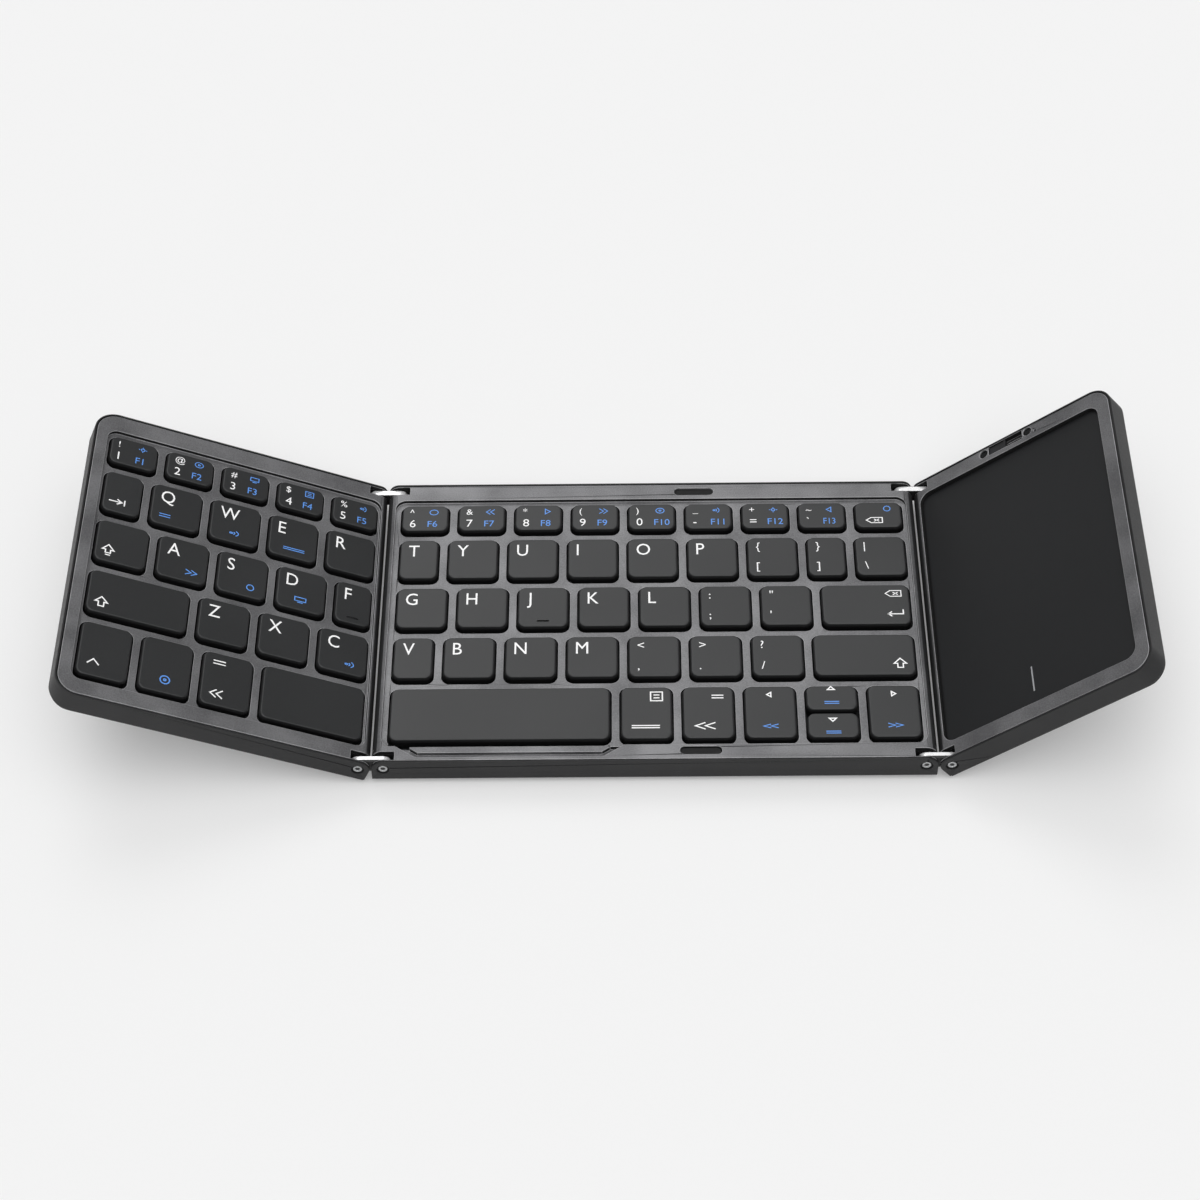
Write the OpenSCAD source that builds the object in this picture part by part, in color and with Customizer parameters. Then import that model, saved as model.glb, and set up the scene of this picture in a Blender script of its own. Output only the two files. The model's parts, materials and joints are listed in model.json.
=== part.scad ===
// Folding pocket keyboard: a centre panel with a wing hinged to each side by double-pivot
// links. Keys fill the centre and left panels, a touch surface fills the right one.
// +X runs along the keyboard, +Y to its back, +Z up. The floor is z = 0, under the centre.

/* [Panels] */
// Thickness of each panel, underside to rim
panel_t = 8; // [7.5:0.1:10]
// Depth of each panel, front to back
panel_d = 100.4; // [98:0.1:120]
// Left wing, hinge pin to outer end
left_len = 84.1; // [84:0.1:90]
// Right wing, hinge pin to outer end
right_len = 64.2; // [64:0.1:70]
// Tilt of the left wing
left_tilt = 23.1; // [0:0.1:60]
// Tilt of the right wing
right_tilt = 39.1; // [0:0.1:60]
// Upright corner radius at a wing's outer end
corner_r = 6.5; // [3:0.1:7]
// Radius along the lower edges
edge_r = 1.2; // [0.5:0.1:2]
// Height of the rubber feet
foot_h = 1.2; // [1.2:0.1:3]
// Radius of a round foot
foot_r = 4; // [2:0.1:6]
// Middle of a foot from the hinge pin
foot_s = 12; // [8:0.1:16]
// Middle of a foot from a wing's outer end
foot_end = 14; // [8:0.1:18]
// Middle of a foot from a panel's front or back face
foot_in = 10.2; // [6:0.1:14]
// Length of the long rubber pad under the centre
rest_len = 48; // [30:0.5:80]
// Width of that pad
rest_w = 12; // [8:0.5:20]
// Corner radius of that pad
rest_r = 3; // [1:0.5:4]

/* [Shells] */
// Side wall of a tray
wall = 1.2; // [1.1:0.1:2]
// Floor of a tray
floor_t = 0.9; // [0.6:0.1:1.2]
// Width of the tray's edge left beside the frame
lip_w = 0.55; // [0.4:0.05:0.8]
// Space between the tray's edge and the frame
lip_gap = 0.25; // [0.05:0.05:0.25]
// Thickness of the frame's rim
rim_t = 1.5; // [1.3:0.1:2]
// Depth of the key bed below the rim
recess = 1.2; // [0.8:0.1:1.4]
// Thickness of the web between the keys
web_t = 1; // [0.8:0.1:1.2]
// Radius of the key bed's corners
bed_r = 3; // [1:0.1:4]
// Width of the front rim, outer face to key bed
front_rim = 5.6; // [5.3:0.1:6]
// Width of the back rim, outer face to key bed
back_rim = 6.2; // [5.8:0.1:7]
// Key bed of the left wing, inside the first keys
bed_near = 1.2; // [0.7:0.1:1.5]
// Key bed of the left wing, beyond the last keys
bed_far = 1.4; // [0.7:0.1:2]
// Web of the left wing, beyond the last keys
web_end = 3; // [2:0.1:3.5]
// Space between a frame's lower side and the tray's blocks
fit_gap = 0.1; // [0.05:0.05:0.2]
// Width of a frame's strip along a hinge edge
strip_w = 1.8; // [1.5:0.1:2]
// Radius of a support post in a tray
post_r = 1.6; // [1:0.1:2.5]
// Middle of a post from a panel's front or back face
post_in = 12.2; // [9:0.1:16]
// Middle of the outer posts from the hinge pin
post_s = 6.8; // [6:0.1:9]
// Middle of the last posts from the left wing's outer end
post_end = 8.1; // [6:0.1:12]

/* [Hinges] */
// Centre pins, measured from the middle of the centre panel
pin_x = 72.8; // [72.5:0.1:90]
// Radius of a panel's rounded hinge edge
knuckle_r = 3.15; // [3:0.05:3.3]
// Distance between the two pins of a link
link_pitch = 6.8; // [6.8:0.1:7]
// Radius of a link's ends
link_r = 2.1; // [1.6:0.1:2.2]
// Thickness of a link
link_t = 2; // [1:0.1:2.2]
// Outer face of a panel to the link
link_in = 1.15; // [1.1:0.05:1.5]
// Wall left outside a link's pocket
pocket_wall = 1; // [0.8:0.1:1]
// Outer face of a panel to the inner side of the pocket
pocket_in = 3.75; // [3.4:0.05:4]
// Pocket beyond the pin
pocket_len = 3.1; // [3:0.1:3.3]
// Pocket's floor below a link
pocket_drop = 0.4; // [0.2:0.1:0.6]
// Outer face to the inner side of the bearing block
block_in = 5.2; // [5:0.1:5.2]
// Radius of a hinge pin
pin_r = 0.9; // [0.6:0.05:1]
// Clearance of a pin in its seat
seat_gap = 0.02; // [0.01:0.01:0.05]
// Running clearance of a pin in a link
run_gap = 0.05; // [0.02:0.01:0.1]
// Radius of a pin's head
head_r = 1.4; // [1.2:0.1:1.6]
// Thickness of a pin's head
head_t = 0.4; // [0.2:0.1:0.4]
// Radius of the bore around a pin's head
head_bore_r = 1.7; // [1.5:0.1:1.9]
// Depth of the bore around a pin's head
head_bore_t = 0.5; // [0.4:0.1:0.6]

/* [Keys] */
// Centre keys start this far inside the left pins
keys_in_l = 1.4; // [1.2:0.1:2]
// Centre keys end this far inside the right pins
keys_in_r = 0.9; // [0.8:0.1:2]
// Centre key bed reaches this far beyond the pins
bed_reach = 0.7; // [0:0.1:0.8]
// Left wing's keys start this far from its pin
bed_s0 = 0.45; // [0.4:0.05:1]
// Left wing's keys end this far from its outer end
end_rim = 5.35; // [5:0.05:6]
// Front row's tops inside the front of the key bed
bed_edge_f = 2.1; // [1.9:0.1:3]
// Number row's tops inside the back of the key bed
bed_edge_b = 2; // [1.9:0.1:3]
// Space between the tops of two letter keys in a row
key_space = 3.24; // [3:0.01:3.6]
// Space between the tops of two rows
row_gap = 3.85; // [3.6:0.05:4]
// Depth of a digit key's top
digit_d = 9.35; // [8.5:0.05:10]
// Depth of the front row's tops
low_d = 17.45; // [16:0.05:18]
// Width of the outer key beside the Q key
tab_w = 10.3; // [9.5:0.1:12]
// Width of the narrow keys beside the centre hinge
cut_w = 10.6; // [10:0.1:11]
// Width of the narrow key beside the left wing's hinge
cut_s = 10.05; // [9.5:0.05:11]
// Width of the narrow bracket key
brk_w = 10.4; // [10:0.1:11]
// Width of the last key in the P key's row
end_w = 13.82; // [13:0.02:15]
// Width of the right space bar
space_w = 59.4; // [58:0.1:60]
// Width of the left space bar
space_s = 28.3; // [27:0.1:29]
// Space between the two half keys of the paging pair
half_gap = 1.35; // [1:0.05:2]
// Depth of a key's top below the rim
key_drop = 0.15; // [0.1:0.05:0.4]
// Thickness of a key's top plate
cap_t = 1.1; // [0.8:0.1:1.2]
// Height of a key's narrower upper step
step_h = 0.4; // [0.2:0.1:0.6]
// Width of a key's lower step outside its top
step_w = 0.25; // [0.1:0.05:0.4]
// Height of a key, skirt to top
cap_h = 2.75; // [2.5:0.05:3]
// Wall of a key's skirt
skirt_w = 0.9; // [0.7:0.1:1.2]
// Corner radius of a key's top
top_r = 1.9; // [1:0.1:2.5]
// Space between a key and its opening
well_gap = 0.35; // [0.2:0.05:0.4]
// The same gap at a keycap's front edge
well_front = 1.35; // [0.35:0.05:1.4]

/* [Under the keys] */
// Height of the key plate above the underside
plate_z = 2.6; // [2.5:0.1:2.7]
// Key plate's edge beyond the hinge pin
plate_s = 1.2; // [0.6:0.1:1.4]
// Key plate's edge inside a wing's end wall
plate_end = 1; // [0.6:0.1:2]
// Space between the key plate and the bearing blocks
plate_gap = 0.4; // [0.2:0.1:0.8]
// Corner radius of the key plate
plate_r = 1; // [0.5:0.1:2]
// Dome sheet's edge inside the key plate's
sheet_in = 0.2; // [0.1:0.1:0.5]
// Thickness of the steel key plate
plate_t = 0.4; // [0.3:0.05:0.5]
// Thickness of the dome sheet
sheet_t = 0.3; // [0.2:0.05:0.4]
// Height of a rubber dome
dome_h = 2; // [1.5:0.1:2]
// Radius of a dome's foot
dome_r = 2; // [1.5:0.1:2]
// Radius of a dome's top
dome_top_r = 1.2; // [0.8:0.1:1.5]
// Height of a scissor frame
scissor_h = 1.2; // [0.8:0.1:1.3]
// Width of a scissor frame's bars
scissor_w = 0.7; // [0.5:0.1:0.8]
// Space around a scissor frame
scissor_gap = 0.4; // [0.3:0.1:0.6]

/* [Inside the trays] */
// Cell's left edge from the left pins
cell_in = 15.8; // [12:0.1:30]
// Length of the cell
cell_len = 62; // [40:0.5:64]
// Cell's edge from the front and back faces
cell_side = 22.2; // [18:0.1:30]
// Corner radius of the cell
cell_r = 1.5; // [0.5:0.1:3]
// Space over the cell
cell_gap = 0.3; // [0.2:0.1:0.5]
// Space between the cell and the board
board_gap = 5; // [2:0.5:10]
// Board's right edge from the right pins
board_in = 14.8; // [12:0.1:20]
// Board's edge from the front and back faces
board_side = 20.2; // [18:0.1:30]
// Thickness of the board
board_t = 0.8; // [0.6:0.1:0.9]
// Height of a chip
chip_h = 0.7; // [0.5:0.1:0.8]
// Width of the larger chip
chip_w = 7; // [5:0.5:9]
// Width of the smaller chip
small_w = 5; // [3:0.5:6]
// Larger chip from the board's inner edge
chip_s = 10; // [5:0.5:15]
// Smaller chip from the board's inner edge
small_s = 28; // [20:0.5:35]
// Smaller chip in front of the middle
small_dy = 15; // [10:0.5:20]

/* [Touch surface] */
// Its inner edge from the right wing's pin
pad_s0 = 0.1; // [0:0.1:1]
// Its outer edge from the wing's outer end
pad_end = 4.5; // [4:0.1:6]
// Its front and back edges from the wing's faces
pad_side = 5.45; // [5.4:0.05:7]
// Its corner radius
pad_r = 3.5; // [2:0.1:5]
// Its thickness
pad_t = 1; // [0.8:0.1:1.2]
// Gap around it
pad_gap = 0.1; // [0.05:0.05:0.2]
// Width of the ledge under it
ledge_w = 1.5; // [1:0.1:2]
// Thickness of that ledge
ledge_t = 0.6; // [0.5:0.1:0.8]
// Ledge beyond the surface's outer edge
ledge_end = 1.2; // [0.8:0.1:1.6]
// Space between the ledge and the bearing blocks
ledge_gap = 0.05; // [0.05:0.05:0.1]
// Edge of the circuit board inside the ledge
pad_board_in = 0.5; // [0.3:0.1:1]
// Thickness of that board
pad_board_t = 1; // [0.8:0.1:1.2]

/* [Switch and port] */
// Middle of the switch and lamps from the wing's back face
switch_in = 2.35; // [2.3:0.05:2.4]
// Start of the switch slot from the pin
slot_s0 = 24.35; // [24:0.05:30]
// Length of the switch slot
slot_len = 11.25; // [10:0.05:12]
// Width of the switch slot
slot_w = 3; // [2.6:0.1:3]
// Space around the switch knob
knob_gap = 0.1; // [0.05:0.05:0.2]
// Length of the switch knob
knob_len = 5.45; // [4:0.05:5.6]
// Depth of the switch knob below the rim
knob_drop = 0.4; // [0.1:0.1:0.6]
// Raised rib on the switch knob
rib_len = 0.5; // [0.3:0.1:0.8]
// Depth of that rib below the rim
rib_drop = 0.1; // [0.1:0.1:0.3]
// Length of the switch knob's stem
stem_len = 2.4; // [2:0.1:3]
// Stem's start from the knob's end
stem_s = 1.2; // [1:0.1:1.5]
// Width of the switch knob's stem
stem_w = 1.2; // [1:0.1:1.4]
// Space beside the stem
stem_gap = 0.1; // [0.05:0.05:0.2]
// Stem's middle in front of the knob's
stem_in = 0.2; // [0:0.1:0.3]
// Stem's slot inside the opening's ends
stem_end = 0.9; // [0.6:0.1:1]
// Stem's reach below the shelf
stem_out = 0.6; // [0.3:0.1:1]
// Shelf under the switch, before the near lamp
shelf_near = 2.5; // [2:0.1:4]
// Shelf under the switch, beyond the far lamp
shelf_far = 3.5; // [3:0.1:5]
// Radius of a lamp's hole
lamp_r = 1.4; // [1:0.1:1.4]
// Space between a lamp's hole and the slot
lamp_gap = 0.3; // [0.25:0.05:0.5]
// Space around a lamp's lens
lens_gap = 0.08; // [0.05:0.01:0.2]
// Depth of a lens below the rim
lens_drop = 0.35; // [0.1:0.05:0.6]
// Radius of the reset hole
reset_r = 0.4; // [0.3:0.05:0.5]
// Reset hole beyond the far lamp
reset_ds = 2.5; // [2:0.1:3]
// Reset hole in front of the lamps
reset_dy = 1; // [0.5:0.1:1.5]
// Middle of the charging socket from the pin
port_s = 13; // [11:0.1:20]
// Height of the charging socket's middle above the underside
port_z = 2.8; // [2.8:0.05:2.9]
// Width of the charging socket
port_w = 9; // [8.8:0.1:9.2]
// Height of the charging socket
port_h = 3.2; // [3:0.1:3.2]
// Wall of the charging socket
port_wall = 0.3; // [0.2:0.05:0.35]
// Length of the charging socket
port_len = 6.3; // [6:0.1:7]
// Socket's mouth behind the wing's back face
port_in = 0.2; // [0.1:0.1:0.5]
// Space around the socket in the wall
port_gap = 0.1; // [0.05:0.05:0.2]
// Back wall of the socket
port_back = 0.5; // [0.3:0.1:1]
// Width of the socket's tongue
tongue_w = 6.6; // [6:0.1:7]
// Thickness of the tongue
tongue_t = 0.7; // [0.6:0.1:0.8]
// Tongue's tip behind the socket's mouth
tongue_in = 0.6; // [0.4:0.1:1]
// Width of the block under the socket
cradle_w = 6; // [4:0.5:8]
// That block's outer side from the wing's back face
cradle_near = 2; // [1.5:0.1:3]
// That block's inner side from the wing's back face
cradle_far = 6; // [4:0.1:6.4]
// Start of the small front slit from the pin
slit_s0 = 5.5; // [5:0.1:20]
// Length of the slit
slit_len = 5; // [3:0.1:8]
// Depth of the slit
slit_in = 0.35; // [0.2:0.05:0.6]
// Height of the slit above the underside
slit_z = 0.9; // [0.9:0.1:4]
// Width of the slit
slit_h = 0.6; // [0.4:0.1:1]

/* [Rim inserts] */
// Middle of the two magnet inserts along X
insert_x = 12.5; // [10:0.1:15]
// Length of an insert's slot
insert_len = 11.3; // [9:0.1:12]
// Width of an insert's slot
insert_w = 2.6; // [2:0.1:3]
// Insert's distance from the panel's outer face
insert_in = 3.5; // [3.2:0.1:3.6]
// Depth of an insert below the rim
insert_drop = 0.5; // [0.2:0.1:0.8]
// Space around an insert
insert_gap = 0.1; // [0.05:0.05:0.2]
// Frame left around an insert's slot
insert_wall = 1; // [0.8:0.1:2]
// Thumb notch starts this far inside the space bar's left end
notch_in = 1.7; // [1:0.1:8]
// Thumb notch ends this far beyond the space bar's right end
notch_out = 4; // [0:0.1:10]
// Run of the notch's slanted ends
notch_slope = 5.4; // [3:0.1:8]
// Depth of the notch in front of the key bed
notch_d = 3.7; // [2:0.1:4]
// Width of the gutter between the notch's shelf and the rim
gutter_w = 2.2; // [1:0.1:2.4]
// Depth of that gutter below the shelf
gutter_d = 1.2; // [0.8:0.1:1.6]
// Thickness of the gutter's floor
gutter_t = 0.8; // [0.6:0.1:1]

/* [Hidden] */
half_d = panel_d / 2;
pin_z = panel_t - knuckle_r;
inset = lip_w + lip_gap;
rim_z = panel_t - rim_t;
bed_z = panel_t - recess;
cap_z = panel_t - key_drop;
skirt_z = cap_z - cap_h;
sheet_z = plate_z + plate_t;
dome_z = sheet_z + sheet_t;
past = 20;
over = 1;
weld = 0.1;
centre_half = pin_x + knuckle_r;
bed_front = front_rim - half_d;
bed_back = half_d - back_rim;
bed_x0 = keys_in_l - pin_x;
bed_x1 = pin_x - keys_in_r;
bed_s1 = left_len - end_rim;
row_room = bed_back - bed_front - bed_edge_f - bed_edge_b - digit_d - low_d - 4 * row_gap;
letter_d = hundredths(row_room / 3);
row5_y = bed_front + bed_edge_f + low_d / 2;
row4_y = row5_y + low_d / 2 + row_gap + letter_d / 2;
home_y = row4_y + row_gap + letter_d;
row2_y = home_y + row_gap + letter_d;
row1_y = row2_y + letter_d / 2 + row_gap + digit_d / 2;
half_key_d = (low_d - half_gap) / 2;
half_key_y = (half_gap + half_key_d) / 2;
pitch_room = bed_x1 - bed_x0 - cut_w - brk_w - end_w - 2 * key_space;
centre_pitch = hundredths(pitch_room / 6);
left_pitch = hundredths((bed_s1 - bed_s0 - tab_w) / 4);
letter_w = centre_pitch - key_space;
letter_s = left_pitch - key_space;
mid_x = bed_x0 + cut_w + key_space;
brk_x = mid_x + 6 * centre_pitch;
low_x = bed_x0 + space_w + key_space;
low_w = hundredths((bed_x1 - low_x - 4 * key_space) / 5);
low_s = bed_s0 + space_s + key_space;
low_sw = hundredths((bed_s1 - low_s - 2 * key_space) / 3);
mid_s = bed_s0 + cut_s + key_space;
pad_s1 = right_len - pad_end;
pad_half = half_d - pad_side;
switch_y = half_d - switch_in;
slot_s1 = slot_s0 + slot_len;
lamps = [slot_s0 - lamp_gap - lamp_r, slot_s1 + lamp_gap + lamp_r];
cell_x0 = cell_in - pin_x;
board_x0 = cell_x0 + cell_len + board_gap;
notch_x0 = bed_x0 + notch_in;
notch_x1 = bed_x0 + space_w + notch_out;
gutter_z = bed_z - gutter_d;
well_y = bed_front + bed_edge_f - step_w - well_front;
block_x = pin_x - pocket_len - wall;
post_x = pin_x - post_s;
post_mid = (post_s + left_len - post_end) / 2;

function hundredths(x) = round(x * 100) / 100;

// Key tops as [first edge, last edge, middle of the row, depth]
function run(x, n, w, step, y, d) = [for (i = [0:n - 1]) [x + i * step, x + i * step + w, y, d]];
digit_w = hundredths((bed_x1 - bed_x0 - 8 * key_space) / 9);
digit_sw = hundredths((bed_s1 - bed_s0 - 4 * key_space) / 5);
low_step = low_w + key_space;
c_row1 = run(bed_x0, 9, digit_w, digit_w + key_space, row1_y, digit_d);
c_row2 = concat([[bed_x0, bed_x0 + cut_w, row2_y, letter_d]],
    run(mid_x, 6, letter_w, centre_pitch, row2_y, letter_d),
    [[brk_x, brk_x + brk_w, row2_y, letter_d], [brk_x + brk_w + key_space, bed_x1, row2_y, letter_d]]);
c_row3 = concat(run(bed_x0, 7, letter_w, centre_pitch, home_y, letter_d),
    [[bed_x0 + 7 * centre_pitch, bed_x1, home_y, letter_d]]);
c_row4 = concat([[bed_x0, bed_x0 + cut_w, row4_y, letter_d]],
    run(mid_x, 6, letter_w, centre_pitch, row4_y, letter_d),
    [[brk_x, bed_x1, row4_y, letter_d]]);
c_row5 = concat([[bed_x0, bed_x0 + space_w, row5_y, low_d]],
    run(low_x, 3, low_w, low_step, row5_y, low_d),
    run(low_x + 3 * low_step, 1, low_w, 0, row5_y + half_key_y, half_key_d),
    run(low_x + 3 * low_step, 1, low_w, 0, row5_y - half_key_y, half_key_d),
    run(low_x + 4 * low_step, 1, low_w, 0, row5_y, low_d));
l_row1 = run(bed_s0, 5, digit_sw, digit_sw + key_space, row1_y, digit_d);
l_row2 = concat(run(bed_s0, 4, letter_s, left_pitch, row2_y, letter_d),
    [[bed_s0 + 4 * left_pitch, bed_s1, row2_y, letter_d]]);
l_row3 = concat([[bed_s0, bed_s0 + cut_s, home_y, letter_d]],
    run(mid_s, 3, letter_s, left_pitch, home_y, letter_d),
    [[mid_s + 3 * left_pitch, bed_s1, home_y, letter_d]]);
l_row4 = concat(run(bed_s0, 3, letter_s, left_pitch, row4_y, letter_d),
    [[bed_s0 + 3 * left_pitch, bed_s1, row4_y, letter_d]]);
l_row5 = concat([[bed_s0, bed_s0 + space_s, row5_y, low_d]],
    run(low_s, 3, low_sw, low_sw + key_space, row5_y, low_d));
centre_keys = concat(c_row1, c_row2, c_row3, c_row4, c_row5);
centre_wells = concat(c_row1, c_row2, c_row3, c_row4, [c_row5[0]],
    run(low_x, 5, low_w, low_step, row5_y, low_d));
left_keys = concat(l_row1, l_row2, l_row3, l_row4, l_row5);
outer_keys = [c_row2[6], c_row2[7], c_row2[8], c_row3[5], c_row3[6], c_row3[7], c_row4[4],
    c_row4[5], c_row4[6], c_row4[7], c_row5[1], c_row5[2], c_row5[3], c_row5[4], c_row5[5],
    c_row5[6]];
edge_keys = [l_row2[4], l_row3[4], l_row4[3], l_row5[1], l_row5[2], l_row5[3]];

// Places a panel's own frame: x outward from the pin, z up from the underside
module centre_at() translate([0, 0, foot_h]) children();
module right_at() {
    translate([pin_x + link_pitch, 0, foot_h + pin_z])
        rotate([0, -right_tilt, 0])
            translate([0, 0, -pin_z]) children();
}
module left_at() {
    translate([-pin_x - link_pitch, 0, foot_h + pin_z])
        rotate([0, left_tilt, 0])
            mirror([1, 0, 0])
                translate([0, 0, -pin_z]) children();
}

// A block with rounded upright corners
module slab(x0, x1, y0, y1, r, z0, z1) {
    translate([0, 0, z0]) linear_extrude(z1 - z0) {
        translate([x0 + r, y0]) square([x1 - x0 - 2 * r, y1 - y0]);
        translate([x0, y0 + r]) square([x1 - x0, y1 - y0 - 2 * r]);
        for (x = [x0 + r, x1 - r])
            for (y = [y0 + r, y1 - r])
                translate([x, y]) circle(r, $fn = 16);
    }
}
module box(x0, x1, y0, y1, z0, z1) translate([x0, y0, z0]) cube([x1 - x0, y1 - y0, z1 - z0]);

// A rod along Y between two depths
module rod(x, z, r, y0, y1) {
    translate([x, y1, z]) rotate([90, 0, 0]) cylinder(r = r, h = y1 - y0, $fn = 32);
}

// The side view of a hinge edge, rounded about its pin, from its end to x1
module hinge_side(x1) {
    translate([0, half_d, 0]) rotate([90, 0, 0]) linear_extrude(panel_d) {
        translate([-knuckle_r, 0]) square([x1 + knuckle_r, pin_z]);
        square([x1, panel_t]);
        translate([0, pin_z]) circle(knuckle_r, $fn = 64);
    }
}

// Rounds the long lower edges
module edge_trim(x0, x1) {
    translate([x0, 0, 0]) rotate([90, 0, 90]) linear_extrude(x1 - x0) {
        translate([-half_d, edge_r]) square([panel_d, panel_t - edge_r]);
        translate([edge_r - half_d, 0]) square([panel_d - 2 * edge_r, edge_r * 2]);
        for (y = [edge_r - half_d, half_d - edge_r])
            translate([y, edge_r]) circle(edge_r, $fn = 16);
    }
}

// A wing's outside, before it is hollowed
module wing_body(len) {
    intersection() {
        hinge_side(len);
        edge_trim(-knuckle_r, len);
        union() {
            slab(-past, len, -half_d, half_d, corner_r, edge_r, panel_t);
            slab(-past, len - edge_r / 2, edge_r / 2 - half_d, half_d - edge_r / 2,
                corner_r - edge_r / 2, 0, edge_r);
        }
    }
}

// The centre panel's outside, before it is hollowed
module centre_body() {
    intersection() {
        edge_trim(-centre_half, centre_half);
        union() for (m = [0, 1]) mirror([m, 0, 0]) translate([-pin_x, 0, 0]) hinge_side(pin_x);
    }
}

// Everything cut from a tray at one hinge edge: link pockets, pin holes and the end's top
module hinge_cuts() {
    box(-past, strip_w - knuckle_r, block_in - half_d, half_d - block_in, pin_z, panel_t + over);
    for (m = [0, 1]) mirror([0, m, 0]) {
        box(-past, pocket_len, half_d - pocket_in, half_d - pocket_wall,
            pin_z - link_r - pocket_drop, panel_t + over);
        rod(0, pin_z, pin_r + seat_gap, half_d - block_in - over, half_d + over);
        rod(0, pin_z, head_bore_r, half_d - head_bore_t, half_d + over);
    }
}

// Bearing blocks left inside a tray at one hinge edge
module hinge_blocks() {
    for (y = [-half_d, half_d - block_in])
        box(-past, pocket_len + wall, y, y + block_in, 0, rim_z);
}

// Posts from a tray's floor to the key plate, in a front and a back row
module posts(places) {
    for (x = places) for (y = [post_in - half_d, half_d - post_in])
        translate([x, y, floor_t / 2]) cylinder(r = post_r, h = plate_z - floor_t / 2, $fn = 16);
}

module wing_tray(len) {
    difference() {
        wing_body(len);
        difference() {
            slab(-past, len - wall, wall - half_d, half_d - wall, corner_r - wall,
                floor_t, panel_t + over);
            hinge_blocks();
            box(-knuckle_r, wall - knuckle_r, -half_d, half_d, 0, pin_z);
        }
        slab(-past, len - lip_w, lip_w - half_d, half_d - lip_w, corner_r - lip_w,
            rim_z, panel_t + over);
        hinge_cuts();
    }
}

module wing_frame_blank(len) {
    intersection() {
        hinge_side(len);
        union() {
            slab(-past, len - inset, inset - half_d, half_d - inset, corner_r - inset,
                rim_z, panel_t);
            box(-knuckle_r, strip_w - knuckle_r, block_in + fit_gap - half_d,
                half_d - block_in - fit_gap, pin_z + fit_gap, panel_t);
        }
    }
}

// Link pockets as they pass through a frame
module frame_pockets() {
    for (m = [0, 1]) mirror([0, m, 0])
        box(-past, pocket_len, half_d - pocket_in, half_d - pocket_wall, 0, panel_t + over);
}

module hinge_pins() {
    for (m = [0, 1]) mirror([0, m, 0]) {
        rod(0, pin_z, pin_r, half_d - block_in, half_d - head_bore_t);
        rod(0, pin_z, head_r, half_d - head_bore_t, half_d - head_bore_t + head_t);
    }
}

module link_bars() {
    for (m = [0, 1]) mirror([0, m, 0]) difference() {
        union() {
            for (x = [0, link_pitch])
                rod(x, 0, link_r, half_d - link_in - link_t, half_d - link_in);
            box(0, link_pitch, half_d - link_in - link_t, half_d - link_in, -link_r, link_r);
        }
        for (x = [0, link_pitch]) rod(x, 0, pin_r + run_gap, half_d - past, half_d);
    }
}

module cap(k) {
    difference() {
        union() {
            slab(k[0] - step_w, k[1] + step_w, k[2] - k[3] / 2 - step_w,
                k[2] + k[3] / 2 + step_w, top_r + step_w, skirt_z, cap_z - step_h);
            slab(k[0], k[1], k[2] - k[3] / 2, k[2] + k[3] / 2, top_r, cap_z - step_h, cap_z);
        }
        box(k[0] - step_w + skirt_w, k[1] + step_w - skirt_w,
            k[2] - k[3] / 2 - step_w + skirt_w, k[2] + k[3] / 2 + step_w - skirt_w,
            skirt_z - over, cap_z - cap_t);
    }
}

module key_opening(k) {
    slab(k[0] - step_w - well_gap, k[1] + step_w + well_gap,
        k[2] - k[3] / 2 - step_w - well_front, k[2] + k[3] / 2 + step_w + well_gap,
        top_r + step_w + well_gap, 0, panel_t);
}

module domes(list) {
    for (k = list) translate([(k[0] + k[1]) / 2, k[2], dome_z - weld])
        cylinder(r1 = dome_r, r2 = dome_top_r, h = dome_h + weld, $fn = 14);
}

// A scissor frame is a ring as wide as its key's cavity, or a letter key's at most
module scissors(list) {
    for (k = list) translate([(k[0] + k[1]) / 2, k[2], dome_z]) {
        w = min(k[1] - k[0], letter_w) / 2 + step_w - skirt_w - scissor_gap;
        d = k[3] / 2 + step_w - skirt_w - scissor_gap;
        difference() {
            box(-w, w, -d, d, 0, scissor_h);
            box(scissor_w - w, w - scissor_w, scissor_w - d, d - scissor_w, -over, scissor_h + over);
        }
    }
}

// The round-ended inserts in the centre panel's two long rims, up to z1
module inserts(len, w, z1) {
    for (y = [insert_in - half_d, half_d - insert_in])
        translate([insert_x, y, rim_z]) linear_extrude(z1 - rim_z) {
            square([len - w, w], center = true);
            for (x = [w - len, len - w]) translate([x / 2, 0]) circle(w / 2, $fn = 24);
        }
}

// A sheet between the bearing blocks, smaller than the key plate by less on every side
module plate(x0, x1, less, z0, z1) {
    slab(x0 + less, x1 - less, block_in + plate_gap + less - half_d,
        half_d - block_in - plate_gap - less, plate_r, z0, z1);
}

// A wing's or the centre panel's round feet
module feet(places, z) {
    for (x = places) for (y = [foot_in - half_d, half_d - foot_in])
        translate([x, y, z]) cylinder(r = foot_r, h = foot_h, $fn = 32);
}

// Two chips standing on a board, from its inner edge and top or under side
module chips(x0, z0) {
    box(x0 + chip_s, x0 + chip_s + chip_w, -chip_w / 2, chip_w / 2, z0, z0 + chip_h);
    box(x0 + small_s, x0 + small_s + small_w, -small_dy - small_w / 2, small_w / 2 - small_dy,
        z0, z0 + chip_h);
}

// The thumb notch's outline in front of the key bed, moved in by less, up to y1 in the bed
module notch(less, y1) {
    side = hundredths(less * sqrt(notch_slope * notch_slope + notch_d * notch_d) / notch_d);
    deep = notch_d - less;
    run_in = hundredths(notch_slope * deep / notch_d);
    polygon([[notch_x0 + side, y1], [notch_x0 + side, 0], [notch_x0 + side + run_in, -deep],
        [notch_x1 - side - run_in, -deep], [notch_x1 - side, 0], [notch_x1 - side, y1]]);
}

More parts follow.
